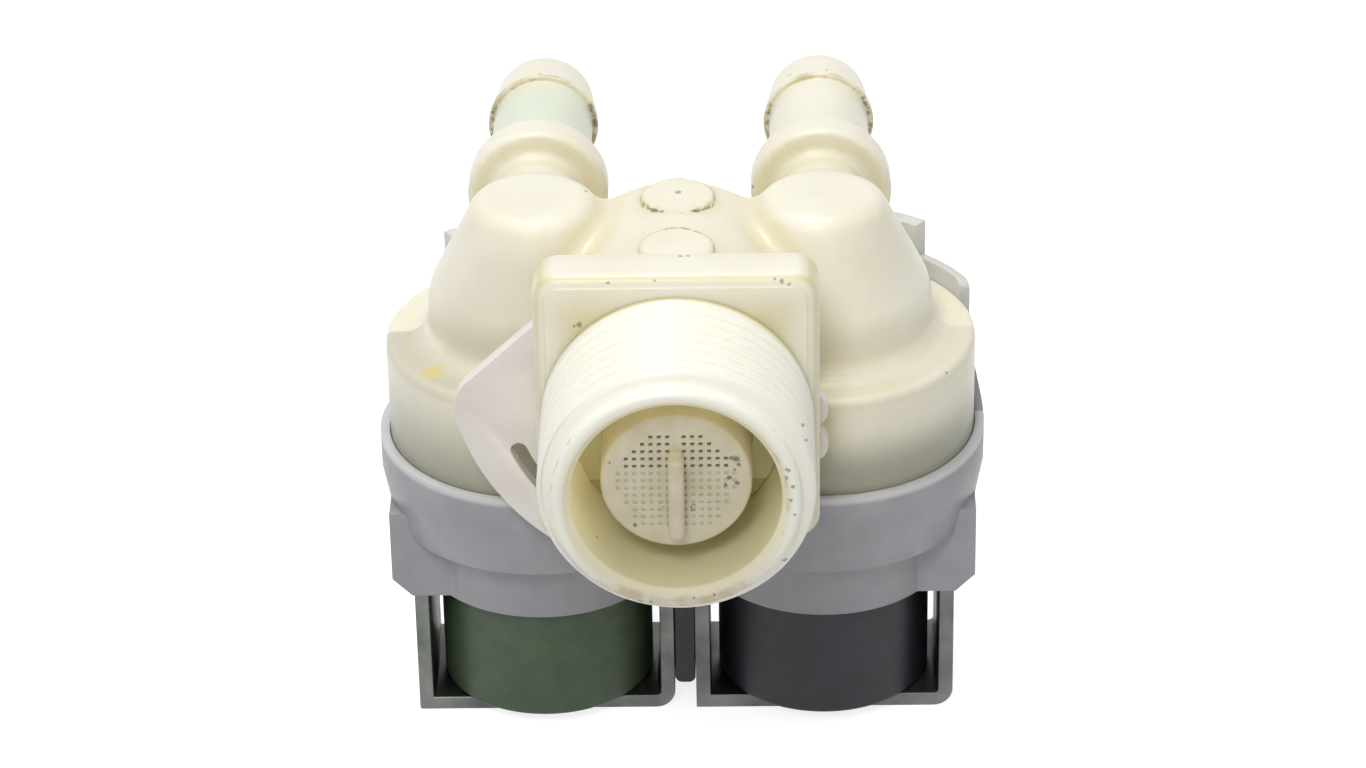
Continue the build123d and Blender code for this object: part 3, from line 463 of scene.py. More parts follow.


# Collar's moulded grey nylon, paler along the lip that the chambers sit in as a painted highlight on its top,
# and its thin posts paler towards their tops as painted light, for light that comes through them
greyLook = {"light": "#A2A2A7", "dark": "#98989D", "lipHighlight": "#D6D6D6", "lipFrom": -15.1, "lipTo": -14.6,
            "lipWidth": 0.6, "postLight": "#E6E6DE", "postFrom": -12, "postTo": 1}


def greyNylon():
    material, tree, shader, place = startMaterial("mouldedGreyNylon", IOR=1.5)
    colour = cloudColour(tree, place, 5, (greyLook["light"], greyLook["dark"]))
    split = addNode(tree, "ShaderNodeSeparateXYZ", None, None, {"Vector": (place, "Object")})
    up = mapped(tree, (split, "Z"), greyLook["lipFrom"] / 1000, greyLook["lipTo"] / 1000)
    low = sumOf(tree, "LESS_THAN", (split, "Z"), (greyLook["lipTo"] + greyLook["lipWidth"]) / 1000)
    colour = laidOver(tree, colour, sumOf(tree, "MULTIPLY", up, low), greyLook["lipHighlight"], 0.8)
    rise = mapped(tree, (split, "Z"), greyLook["postFrom"] / 1000, greyLook["postTo"] / 1000)
    linkTo(tree, laidOver(tree, colour, rise, greyLook["postLight"], 0.85), shader, "Base Color")
    unevenGloss(tree, place, shader, 2.5, 0.36, 0.48)
    grainBump(tree, place, shader, 0.35, 0.25)
    return material


# Moulded plastic of one colour with faint clouds and grain
def plainMoulded(name, colours, roughness, cloudMm=6, grainMm=0.5, grain=0.15, **values):
    material, tree, shader, place = startMaterial(name, IOR=1.5, **values)
    linkTo(tree, cloudColour(tree, place, cloudMm, colours), shader, "Base Color")
    unevenGloss(tree, place, shader, cloudMm / 2, roughness - 0.06, roughness + 0.06)
    grainBump(tree, place, shader, grainMm, grain)
    return material


# Sheet steel with bright zinc: streaked along the strip, duller in patches
def zincPlatedSteel():
    material, tree, shader, place = startMaterial("zincPlatedSteel", Metallic=1.0)
    streak = addNode(tree, "ShaderNodeMapping", None, {"Scale": (1, 0.12, 1)}, {"Vector": (place, "Object")})
    noise = addNode(tree, "ShaderNodeTexNoise", None, {"Scale": 1000 / 0.8, "Detail": 4},
                    {"Vector": (streak, "Vector")})
    linkTo(tree, cloudColour(tree, place, 5, ("#777A76", "#5A5D59")), shader, "Base Color")
    linkTo(tree, mapped(tree, (noise, "Fac"), outcomes=(0.3, 0.55)), shader, "Roughness")
    bump = addNode(tree, "ShaderNodeBump", None, {"Strength": 0.2, "Distance": 0.02 / 1000},
                   {"Height": (noise, "Fac")})
    linkTo(tree, (bump, "Normal"), shader, "Normal")
    return material


# Turned, drawn or plated metal with fine streaks
def turnedMetal(name, colours, roughness, grainMm=0.3):
    material, tree, shader, place = startMaterial(name, Metallic=1.0, Roughness=roughness)
    linkTo(tree, cloudColour(tree, place, 3, colours), shader, "Base Color")
    grainBump(tree, place, shader, grainMm, 0.15, 0.01)
    return material


# Valve body: chambers, towers, manifold, pads and collars are one blended field
body = {
    "chamberR": 15.5, "shoulderZ": -3.6, "shoulderRound": 0.7, "bottomZ": bodyLow[2],
    "towerR": 11.0, "towerStraightZ": 1.6, "towerTopZ": 12.25, "towerTopR": 5.8, "towerTopRound": 2.4,
    "towerLean": 0.9, "towerLeanFrom": 2, "towerBend": 6.0, "towerFoot": 2.6, "towerBlend": 1.5,
    "manifoldR": 12.35, "manifoldEnd": 28.5, "manifoldRound": 3.0, "manifoldBore": 7.0, "boreEnd": 26.0,
    "padR": 3.7, "padTop": 12.55, "padFoot": 5, "padY": (23.0, 12.0), "padBlend": 0.35,
    "barbZ": 7.0, "neckR": 4.5, "neckRound": 1.1, "neckBlend": 0.7, "barbBore": 3.6,
    "collarFront": 33.5, "collarBack": 37.0, "collarR": 7.2, "collarFrontRound": 0.6, "collarBackRound": 0.4,
    "wellR": 6.1, "wellWall": 1.9, "wellStraightZ": 1.5, "wellTopZ": 9.4, "seatZ": -13.4, "ceilingZ": -5.9,
    "innerR": 13.2, "ledgeZ": -14.4, "counterR": 13.9, "portFrom": 1, "portTo": 5.9, "portHalf": 3,
    "frontY": 4.6, "blend": 2.4, "past": 1, "netTop": 14.3, "net": 0.5,
}
towerLine = roundedLine(
    [(0, body["towerTopZ"]), (body["towerTopR"], body["towerTopZ"]), (body["towerR"], body["towerStraightZ"]),
     (body["towerR"], body["shoulderZ"]), (body["chamberR"], body["shoulderZ"]),
     (body["chamberR"], body["bottomZ"]), (0, body["bottomZ"])],
    [body["towerTopRound"], body["towerBend"], body["towerFoot"], body["shoulderRound"], 0])
manifoldLine = roundedLine(
    [(0, body["frontY"]), (body["manifoldR"], body["frontY"]), (body["manifoldR"], body["manifoldEnd"]),
     (0, body["manifoldEnd"])],
    [0, body["manifoldRound"]])
neckLine = roundedLine(
    [(0, chamberY), (body["neckR"], chamberY), (body["neckR"], body["collarFront"]),
     (body["collarR"], body["collarFront"]), (body["collarR"], body["collarBack"]), (0, body["collarBack"])],
    [0, body["neckRound"], body["collarFrontRound"], body["collarBackRound"]])
wellLine = [(0, body["seatZ"] - body["past"]), (body["wellR"], body["seatZ"] - body["past"]),
            (body["wellR"], body["wellStraightZ"]), (body["barbBore"], body["wellTopZ"]),
            (0, body["wellTopZ"])]
wellOuter = body["wellR"] + body["wellWall"]
chamberLine = [(wellOuter, body["ceilingZ"]), (body["innerR"], body["ceilingZ"]),
               (body["innerR"], body["ledgeZ"]), (body["counterR"], body["ledgeZ"]),
               (body["counterR"], body["bottomZ"] - body["past"]),
               (0, body["bottomZ"] - body["past"]), (0, body["seatZ"]), (wellOuter, body["seatZ"]),
               (wellOuter, body["ceilingZ"])]
boreLine = [(0, body["frontY"] - body["past"]), (body["manifoldBore"], body["frontY"] - body["past"]),
            (body["manifoldBore"], body["boreEnd"]), (0, body["boreEnd"])]


# How far a value lies outside the stretch from low to high
def outside(value, low, high):
    return np.maximum(low - value, value - high)


# Blended union of towers, which lean forwards at the top, manifold, necks, collars and pads, less the wells,
# the chambers, the bores and the ports between them
def bodyField(x, y, z):
    across = np.abs(x)
    lean = y - chamberY + body["towerLean"] * smoothStep(z, body["towerLeanFrom"], body["towerTopZ"])
    nearTower = turnedDistance(np.hypot(across - chamberX, lean), z, towerLine)
    farTower = turnedDistance(np.hypot(across + chamberX, lean), z, towerLine)
    solid = blended(nearTower, farTower, body["towerBlend"])
    aroundInlet = np.hypot(x, z)
    solid = blended(solid, turnedDistance(aroundInlet, y, manifoldLine), body["blend"])
    aroundNeck = np.hypot(across - chamberX, z - body["barbZ"])
    solid = blended(solid, turnedDistance(aroundNeck, y, neckLine), body["neckBlend"])
    for padY in body["padY"]:
        pad = np.maximum(np.hypot(x, y - padY) - body["padR"], outside(z, body["padFoot"], body["padTop"]))
        solid = blended(solid, pad, body["padBlend"])
    near = np.hypot(across - chamberX, y - chamberY)
    cut = np.minimum(turnedDistance(near, z, wellLine), turnedDistance(near, z, chamberLine))
    cut = np.minimum(cut, np.maximum(aroundNeck - body["barbBore"], chamberY - y))
    cut = np.minimum(cut, turnedDistance(aroundInlet, y, boreLine))
    port = outside(across, body["portFrom"], body["portTo"])
    port = np.maximum(port, np.abs(y - chamberY) - body["portHalf"])
    port = np.maximum(port, outside(z, body["ceilingZ"], 0))
    return np.maximum(solid, -np.minimum(cut, port))


netLow = (-chamberX - body["chamberR"], body["frontY"], body["bottomZ"])
netHigh = (chamberX + body["chamberR"], chamberY + body["chamberR"], body["netTop"])
netPoints, netQuads = netSurface(bodyField, netLow, netHigh, body["net"])
for turn in range(3):  # draws the points onto the surface
    slope = slopeOf(bodyField, netPoints)
    netPoints -= slope * np.clip(bodyField(*netPoints.T), -0.2, 0.2)[:, None]
netSlope = slopeOf(bodyField, netPoints, 0.06)
print("body skin", len(netPoints), "points")

# Flange: rounded square outline, its inset growing along a round at the front edge, with a fine step there
flange = {"halfWidth": 13.8, "top": 15.4, "bottom": 14.2, "depth": 5.0, "corner": 2.6, "edge": 1.2,
          "backEdge": 0.25, "step": 0.07, "hole": 7.0, "around": 56, "across": (0.12, 0.3, 0.5, 0.75, 1)}


# Rounded rectangle, inset all round, as points anticlockwise with arcs at its corners
def flangeOutline(inset):
    turn = np.linspace(0, np.pi / 2, flange["around"] // 4)
    radius = max(flange["corner"] - inset, 0.05)
    halfX, top, bottom = (flange[key] - inset - radius for key in ("halfWidth", "top", "bottom"))
    parts = []
    for quarter, (x, z) in enumerate(((halfX, top), (-halfX, top), (-halfX, -bottom), (halfX, -bottom))):
        angle = turn + quarter * np.pi / 2
        parts.append(np.stack([x + radius * np.cos(angle), z + radius * np.sin(angle)], -1))
    return np.concatenate(parts)


def flangeShell():
    edge, back = flange["edge"], flange["backEdge"]
    turn = np.linspace(0, np.pi / 2, 8)
    insets = [(back, flange["depth"]), (0.07, flange["depth"] - 0.07), (0, flange["depth"] - back)]
    insets += [(edge * (1 - np.cos(t)), flange["step"] + edge * (1 - np.sin(t))) for t in turn]
    insets += [(edge + 0.03, 0.01), (edge + 0.08, 0)]
    rows = []
    for inset, y in insets:
        outline = flangeOutline(inset)
        rows.append(np.column_stack([outline[:, 0], np.full(len(outline), y), outline[:, 1]]))
    inner = flangeOutline(edge + 0.08)
    hole = flange["hole"] * inner / np.linalg.norm(inner, axis=1)[:, None]
    for share in flange["across"]:
        place = inner + (hole - inner) * share
        rows.append(np.column_stack([place[:, 0], np.zeros(len(place)), place[:, 1]]))
    rows.append(np.column_stack([hole[:, 0], np.full(len(hole), flange["depth"]), hole[:, 1]]))
    return outward(np.concatenate(rows), gridQuads(len(rows), len(inner), wrapRows=True))


# Spigot with its right-hand thread: flanks 27.5 degrees, crests and roots rounded, run out at both ends
spigot = {"length": 16.0, "majorR": 13.22, "depth": 1.0, "pitch": 1.814, "flank": 27.5, "rootWidth": 0.2,
          "round": 0.1, "runOut": (0.5, 1.4), "turn": 0.1, "leadInR": 11.8, "leadInEnd": -14.6,
          "leadInSlope": 0.5, "boreR": 10.0, "bevel": 0.7, "frontRound": 0.6, "around": 180, "perPitch": 10,
          "root": 0.6}


# Radius = crest less the depth times how far the point is down the flank of the nearest groove, whose
# middle lies where y / pitch + angle / 2 pi is a whole number. The lead-in's slope caps it.
def threadRadius(y, angle):
    phase = y / spigot["pitch"] + angle / (2 * np.pi) + spigot["turn"]
    away = np.abs(phase - np.round(phase)) * spigot["pitch"]
    flankRun = spigot["depth"] * np.tan(np.radians(spigot["flank"]))
    rootHalf = spigot["rootWidth"] / 2
    down = 1 - smoothStep(away, rootHalf - spigot["round"], rootHalf + flankRun + spigot["round"])
    down = down * smoothStep(-y, *spigot["runOut"])
    slope = (spigot["majorR"] - spigot["leadInR"]) / spigot["leadInSlope"]
    cap = spigot["leadInR"] + np.clip(y - spigot["leadInEnd"], 0, spigot["leadInSlope"]) * slope
    return np.minimum(spigot["majorR"] - spigot["depth"] * down, cap)


def spigotShell():
    front = -spigot["length"]
    fine = np.arange(spigot["leadInEnd"] - 0.1, 0.0, spigot["pitch"] / spigot["perPitch"])
    outerY = np.concatenate([[front + 0.85, -14.9], fine, [0.0, spigot["root"]]])
    bore, bevel = spigot["boreR"], spigot["bevel"]
    innerLoop = roundedLine(
        [(spigot["leadInR"], front + 0.8), (spigot["leadInR"], front), (bore + bevel, front),
         (bore, front + bevel * 1.2), (bore, 0), (flange["hole"], 0), (flange["hole"], spigot["root"])],
        [spigot["frontRound"], 0.25, 0.5, 0, 0], 6)[1:]
    depthSteps = np.column_stack([np.full(9, bore), np.linspace(front + 2, -1, 9)])
    wall = np.argmax(innerLoop[:, 1] > -0.5)
    innerLoop = np.concatenate([innerLoop[:wall], depthSteps, innerLoop[wall:]])
    angle = np.linspace(0, 2 * np.pi, spigot["around"], endpoint=False)
    y, turn = np.meshgrid(outerY, angle, indexing="ij")
    radius = threadRadius(y, turn)
    outer = np.stack([radius * np.cos(turn), y, radius * np.sin(turn)], -1)
    innerY = np.broadcast_to(innerLoop[:, 1:], (len(innerLoop), len(angle)))
    inner = np.stack([innerLoop[:, :1] * np.cos(angle), innerY, innerLoop[:, :1] * np.sin(angle)], -1)
    rows = np.concatenate([outer[::-1], inner])
    return outward(rows.reshape(-1, 3), gridQuads(len(rows), spigot["around"], wrapRows=True))


# Barb stems and bulbs, turned about each outlet's axis
barb = {"start": 36.2, "stemR": 5.2, "bulbFront": 49.8, "bulbR": 5.8, "land": 0.5, "endR": 4.7,
        "endSlope": 1.2, "mouth": 0.3, "around": 96}
barbEnd = bodyHigh[1]


def barbShell(centreX):
    stem, front, bore = barb["stemR"], barb["bulbFront"], body["barbBore"]
    stemSteps = [(stem, y) for y in np.linspace(barb["start"], front - 1, 12)]
    outer = roundedLine(
        [(stem, front - 1), (stem, front), (barb["bulbR"], front), (barb["bulbR"], front + barb["land"]),
         (barb["endR"] + 0.35, barbEnd - barb["endSlope"]), (barb["endR"] - 0.6, barbEnd),
         (bore + barb["mouth"], barbEnd), (bore, barbEnd - barb["mouth"]), (bore, barb["start"])],
        [0.15, 0.25, 0.3, 1.5, 0.6, 0, 0], 4)
    return turnedShell(np.concatenate([stemSteps[:-1], outer]), centreX, body["barbZ"], barb["around"])


shells = [flangeShell(), spigotShell(), barbShell(-chamberX), barbShell(chamberX)]
points, quads = joinShells((netPoints, netQuads), *shells)
bodyMesh = makeMesh("valveBodySkin", points, quads)


# Normals of the mesh's points as it is now
def meshNormals(mesh):
    normals = np.zeros(len(mesh.vertices) * 3, np.float32)
    mesh.vertices.foreach_get("normal", normals)
    return normals.reshape(-1, 3)


# Distance to the whole moulding, with flange, spigot and stems as plain boxes and tubes
def wholeField(x, y, z):
    wall = (spigot["majorR"] - spigot["boreR"]) / 2
    tube = np.abs(np.hypot(x, z) - spigot["boreR"] - wall) - wall
    tube = np.maximum(tube, outside(y, -spigot["length"], 0))
    plate = np.maximum(np.abs(x) - flange["halfWidth"], outside(z, -flange["bottom"], flange["top"]))
    plate = np.maximum(plate, outside(y, 0, flange["depth"]))
    stem = np.hypot(np.abs(x) - chamberX, z - body["barbZ"]) - barb["stemR"]
    stem = np.maximum(stem, barb["start"] - y)
    return np.minimum(np.minimum(bodyField(x, y, z), tube), np.minimum(plate, stem))


# How far each point is shut in: 1 less the field some way out along its normal, over that way
def shutIn():
    normals = meshNormals(bodyMesh)
    normals[:len(netSlope)] = netSlope
    total = np.zeros(len(points))
    for reach in (1.0, 2.5, 6.0):
        total += np.clip(1 - wholeField(*(points + normals * reach).T) / reach, 0, 1) / 3
    return total


# Spots found in the photo: pixels of its 1366 x 768 frame, and a radius in millimetres
bodySpots = {
    "flangeFace": [(579, 325, 0.36), (574, 326, 0.18), (608, 283, 0.24), (654, 281, 0.2), (782, 281, 0.32),
                   (775, 279, 0.2), (789, 284, 0.2)],
    "flangeTop": [(680, 256, 0.24), (688, 256, 0.22)],
    "pad": [(678, 192, 0.42)],
    "leftBarb": [(541, 74, 0.24), (595, 120, 0.34), (493, 112, 0.24)],
    "rightBarb": [(790, 75, 0.22), (826, 70, 0.2), (863, 98, 0.3), (868, 113, 0.34)],
    "towers": [(586, 191, 0.26), (753, 187, 0.22), (947, 373, 0.24)],
    "rim": [(640, 601, 0.26), (651, 602, 0.22), (694, 598, 0.22), (714, 595, 0.26), (793, 487, 0.26),
            (791, 500, 0.22), (795, 515, 0.24), (788, 470, 0.3), (786, 478, 0.3)],
    "thread": [(785, 560, 0.32), (803, 425, 0.22), (806, 440, 0.22)],
    "bore": [(597, 537, 0.24)],
}
strainerSpots = [
    (736, 459, 0.5), (731, 458, 0.32), (739.5, 464.5, 0.28), (735, 470, 0.22), (730, 477.5, 0.3),
    (725.5, 485.5, 0.3), (737.5, 483, 0.3), (691, 506.5, 0.17), (693, 504, 0.17), (695.5, 506, 0.17),
    (695, 509, 0.17), (692, 509.5, 0.17), (635, 525, 0.26), (610, 463, 0.16), (663, 508, 0.14),
]
stain = {"spot": (433, 373, 1.3), "core": 1.3}  # full within core - 1 of its radii, gone at core radii
bodyTree = BVHTree.FromPolygons(points.tolist(), quads.tolist())


# Where the ray through a spot's pixel first meets the moulding, with the spot's radius
def spotOnBody(u, v, size):
    place = bodyTree.ray_cast(view["place"], rayThrough(u, v))[0]
    return (*place, size)


# Where the ray through a spot's pixel meets the plane of the strainer's face, with the spot's radius
def spotOnStrainer(u, v, size):
    ray = rayThrough(u, v)
    place = view["place"] + ray * (strainerFaceY - view["place"][1]) / ray[1]
    return (*place, size)


# Strengths of the painted shades, of the dirt and painted shadow lines and of the brown film, which is partly
# painted shade. An underside is painted darker between two depths in mm.
marks = {
    "undersideLeft": (4, 14.6), "undersideRight": (6.5, 12.5), "boreFloor": 0.3, "rimFoot": 0.45,
    "shoulderLeft": 0.5, "shoulderRight": 0.25, "leftTower": 0.22, "bulbSides": 0.85, "bulbTop": 0.6,
    "rimTop": 0.75, "rimSides": 0.95, "leadInShadow": 0.7, "rearPad": 1.15, "frontPadShadow": 1.7, "step": 0.65,
    "brownRim": 1, "brownBulb": 0.95, "brownFootAndShade": 0.95,
}


# Where the moulding is dirty, and where shade and light through its wall are painted on, as one value from 0
# to 1 for each point
def bodyMarks():
    x, y, z = points.T
    radius, across = np.hypot(x, z), np.abs(x) - chamberX
    aroundBarb, aroundChamber = np.hypot(across, z - body["barbZ"]), np.hypot(across, y - chamberY)
    turnAngle, turnBarb = np.degrees(np.arctan2(z, x)), np.degrees(np.arctan2(z - body["barbZ"], across))
    edgeInset = np.minimum(flange["top"] - z, z + flange["bottom"])
    edgeInset = np.minimum(edgeInset, flange["halfWidth"] - np.abs(x))
    inBore = (radius < spigot["boreR"] + 0.9) & (y < 0.1)
    onCollar = (aroundBarb < body["collarR"] + 0.1) & (y > body["collarFront"] - 0.4)
    behindFlange, onRight, onBulb = y > 6, x > 0, aroundBarb < 6.2

    # Painted shade, olive, where the moulding is shut in, less so on the collars and not on the spigot
    hollow = np.clip(shutIn() * 1.6 - 0.1, 0, 1) * ~inBore * (1 - 0.5 * onCollar) * (y > -0.6)

    # Painted shade, grey, below: the chambers' undersides, the bore's floor, the shoulders, the rim's foot
    # and the left tower
    ends = zip(marks["undersideLeft"], marks["undersideRight"])
    underside = smoothStep(-z, *(np.where(onRight, right, left) for left, right in ends))
    underside *= aroundChamber > 14.5
    shoulder = ringBand(z, body["shoulderZ"], 1.4) * (aroundChamber > 11.5) * (y < chamberY)
    towerFront = smoothStep(chamberY - y, 4, 9) * (z > -3) * smoothStep(-z, -11, -7)
    lowShade = np.maximum.reduce([
        underside * behindFlange,
        smoothStep(-z, 2, 9) * inBore * marks["boreFloor"],
        shoulder * behindFlange * np.where(x < 0, marks["shoulderLeft"], marks["shoulderRight"]),
        smoothStep(-z, 3, 12) * (y < -14.8) * (radius > 10.2) * marks["rimFoot"],
        towerFront * behindFlange * (x < -11) * marks["leftTower"],
    ])

    # Dark dirt behind the bulbs, on the rim, round the rear pad and along the flange's step, and painted
    # shadow lines at the lead-in and round the front pad's rear edge
    onRim = ringBand(y, -15.5, 0.35) * (radius > 11.3)
    behindBulb = ringBand(y, barb["bulbFront"], 0.4) * onBulb
    rearPad, frontPadShadow = (ringBand(np.hypot(x, y - padY), body["padR"] + 0.1, 0.4) for padY in body["padY"])
    grime = np.maximum.reduce([
        behindBulb * np.where(np.abs(turnBarb - 90) > 60, marks["bulbSides"], marks["bulbTop"]),
        onRim * (np.abs(turnAngle - 45) < 25) * (z > 0) * marks["rimTop"],
        onRim * (np.abs(np.abs(turnAngle) - 165) < 25) * marks["rimSides"],
        # painted shadow line where the lead-in meets the first crest
        ringBand(y, spigot["leadInEnd"], 0.16) * (radius > 11.6) * (z > 3) * marks["leadInShadow"],
        rearPad * (z > 10) * (y < body["padY"][0] - 1) * marks["rearPad"],
        # painted shadow line along the front pad's rear edge
        frontPadShadow * (z > 10) * (y > body["padY"][1] + 2.9) * marks["frontPadShadow"],
        ringBand(edgeInset, flange["edge"] + 0.05, 0.07) * (np.abs(y) < 0.03) * (z > 8) * marks["step"],
    ])

    # Brown film: on the rim's right and foot, and round the bulbs. On the rim's foot, where it grows darker
    # towards the bottom, it is partly painted shade.
    brown = np.maximum.reduce([
        ringBand(radius, 10.5, 0.9) * (y < -15.2) * (np.abs(turnAngle - 5) < 27) * marks["brownRim"],
        ringBand(y, barb["bulbFront"] + 0.2, 0.8) * onBulb * marks["brownBulb"],
        smoothStep(-z, 5, 10.5) * (y < -15.1) * (radius > 10.4) * marks["brownFootAndShade"],
    ])
    stainX, stainY, stainZ, stainR = spotOnBody(*stain["spot"])
    fromStain = np.linalg.norm(points - np.array([stainX, stainY, stainZ]), axis=1)
    return {
        "hollow": hollow, "lowShade": lowShade, "grime": grime, "brown": brown,
        # Painted light: lightThrough drives the bore's emitted glow and boreGlow paints the bore paler, for
        # light through the wall
        "lightThrough": inBore * smoothStep(y, -15.6, -14.6) * smoothStep(z - 0.6 * x, -6, 5),
        "boreGlow": inBore * smoothStep(y, -15.9, -14.8),
        # Painted light: the spigot is painted paler, for light through its thin threaded wall
        "thread": smoothStep(-y, -0.5, 1.0) * (1 - inBore),
        "greenGlow": ringBand(y, 44, 8) * (x < 0) * (aroundBarb < 5.6) * (aroundBarb > 4.5),
        "stain": np.clip(stain["core"] - fromStain / stainR, 0, 1),
    }


for name, values in bodyMarks().items():
    bodyMesh.attributes.new(name, "FLOAT", "POINT").data.foreach_set("value", values.astype(np.float32))
print("valve body", len(bodyMesh.polygons), "faces")

# Finishes by the record's material slots
bodySpecks = [spotOnBody(*spot) for spots in bodySpots.values() for spot in spots]
strainerSpecks = [spotOnStrainer(*spot) for spot in strainerSpots]
thinWall = {"Subsurface_Weight": 0.15, "Subsurface_Scale": 0.001}
materials = {
    "cream_nylon": mouldedCreamNylon(bodySpecks),
    "strainer_nylon": strainerNylon(strainerSpecks),
    "white_nylon": plainMoulded("mouldedWhiteNylon", ("#F2ECE6", "#EAE4DD"), 0.42, **thinWall),
    "grey_nylon": greyNylon(),
    "green_insert": plainMoulded("mouldedGreenInsert", ("#7FB796", "#74AC8A"), 0.45),
    "green_overmould": plainMoulded("greenOvermould", ("#43533C", "#394933"), 0.5, 3),
    "dark_overmould": plainMoulded("blueBlackOvermould", ("#1D1C26", "#16151D"), 0.5, 3),
    "guide_nylon": plainMoulded("glassFilledNylon", ("#D8D3C4", "#CDC7B5"), 0.5),
    "dark_rubber": plainMoulded("mouldedRubber", ("#2A2A2A", "#202020"), 0.75),
    "zinc_plated_steel": zincPlatedSteel(),
    "plunger_steel": turnedMetal("turnedStainless", ("#B9BBBC", "#A7A9AB"), 0.28),
    "spring_steel": turnedMetal("drawnSpringWire", ("#B0B0AE", "#9C9C9A"), 0.25),
    "tinned_blade": turnedMetal("tinnedBrass", ("#C9C5B8", "#B7B2A3"), 0.3),
    "enamelled_copper": turnedMetal("enamelledCopper", ("#B8673A", "#A2552C"), 0.3),
}
slotOf = {part["node"]: part["material_slot"] for part in frame["record"]["subparts"]}
for name, node in nodes.items():
    for slot in node.material_slots:
        slot.material = materials[slotOf[name]]
print("materials made")


# Rides on the valve in place of a frame node, which it hides. The caller gives the piece that node's finish.
def standsFor(piece, nodeName):
    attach(piece, "valve")
    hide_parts(nodeName)


standsFor(makeObject("valveBodySkin", bodyMesh, materials["cream_nylon"]), "valve_body")


# Copy of a frame node with its loose triangles merged, flat faces joined and edges rounded by a bevel
def softened(nodeName, edgeMm, segments=2, angle=30):
    mesh = nodes[nodeName].data.copy()
    sheet = bmesh.new()
    sheet.from_mesh(mesh)
    bmesh.ops.remove_doubles(sheet, verts=sheet.verts, dist=2e-6)
    bmesh.ops.dissolve_limit(sheet, angle_limit=np.radians(0.5), verts=sheet.verts, edges=sheet.edges,
                             use_dissolve_boundaries=False)
    sheet.to_mesh(mesh)
    sheet.free()
    mesh.shade_smooth()
    piece = makeObject(nodeName + "Soft", mesh, materials[slotOf[nodeName]])
    bevel = piece.modifiers.new("roundedEdges", "BEVEL")
    bevel.width, bevel.segments = edgeMm / 1000, segments
    bevel.limit_method, bevel.angle_limit = "ANGLE", np.radians(angle)
    bevel.harden_normals = True
    standsFor(piece, nodeName)
    return piece


softEdges = {"clamp_collar": 0.22, "lock_plate": 0.3, "yoke_left": 0.18, "yoke_right": 0.18,
             "coil_spacer": 0.15, "coil_jacket_left": 0.2, "coil_jacket_right": 0.2,
             "terminals_left": 0.08, "terminals_right": 0.08}
for nodeName, edgeMm in softEdges.items():
    softened(nodeName, edgeMm)
print("rounded copies made")

# Plunger springs: each is copied with its own mesh and rides on the valve in place of its frame node
for side in ("left", "right"):
    nodeName = "plunger_spring_" + side
    spring = makeObject(nodeName + "Working", nodes[nodeName].data.copy(), materials[slotOf[nodeName]])
    standsFor(spring, nodeName)
    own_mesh(spring)

# Strainer: a cup turned about the inlet's axis, its face pierced by square holes, the lower ones clogged,
# with a fin to pull it out by
strainer = {"discR": 7.2, "wall": 0.8, "rimR": 9.97, "rim": 0.8, "edge": 0.35, "pitch": 0.79,
            "columns": 8, "rows": 13, "holeWidth": 0.38, "holeHeight": 0.34, "clearAbove": 1.4,
            "cloggedDepth": 0.16, "firstX": 0.78, "topZ": 4.85, "reach": 5.6, "finHalf": 0.78, "finTop": 3.4,
            "finBottom": -5.3, "finRound": 0.6, "around": 128}


# Box as eight corners and six quads, from its low and high corner
def boxShell(low, high):
    pick = np.array([(0, 0, 0), (1, 0, 0), (1, 1, 0), (0, 1, 0), (0, 0, 1), (1, 0, 1), (1, 1, 1), (0, 1, 1)])
    faces = np.array([(0, 3, 2, 1), (4, 5, 6, 7), (0, 1, 5, 4), (1, 2, 6, 5), (2, 3, 7, 6), (3, 0, 4, 7)])
    return outward(np.where(pick == 1, high, low).astype(float), faces)


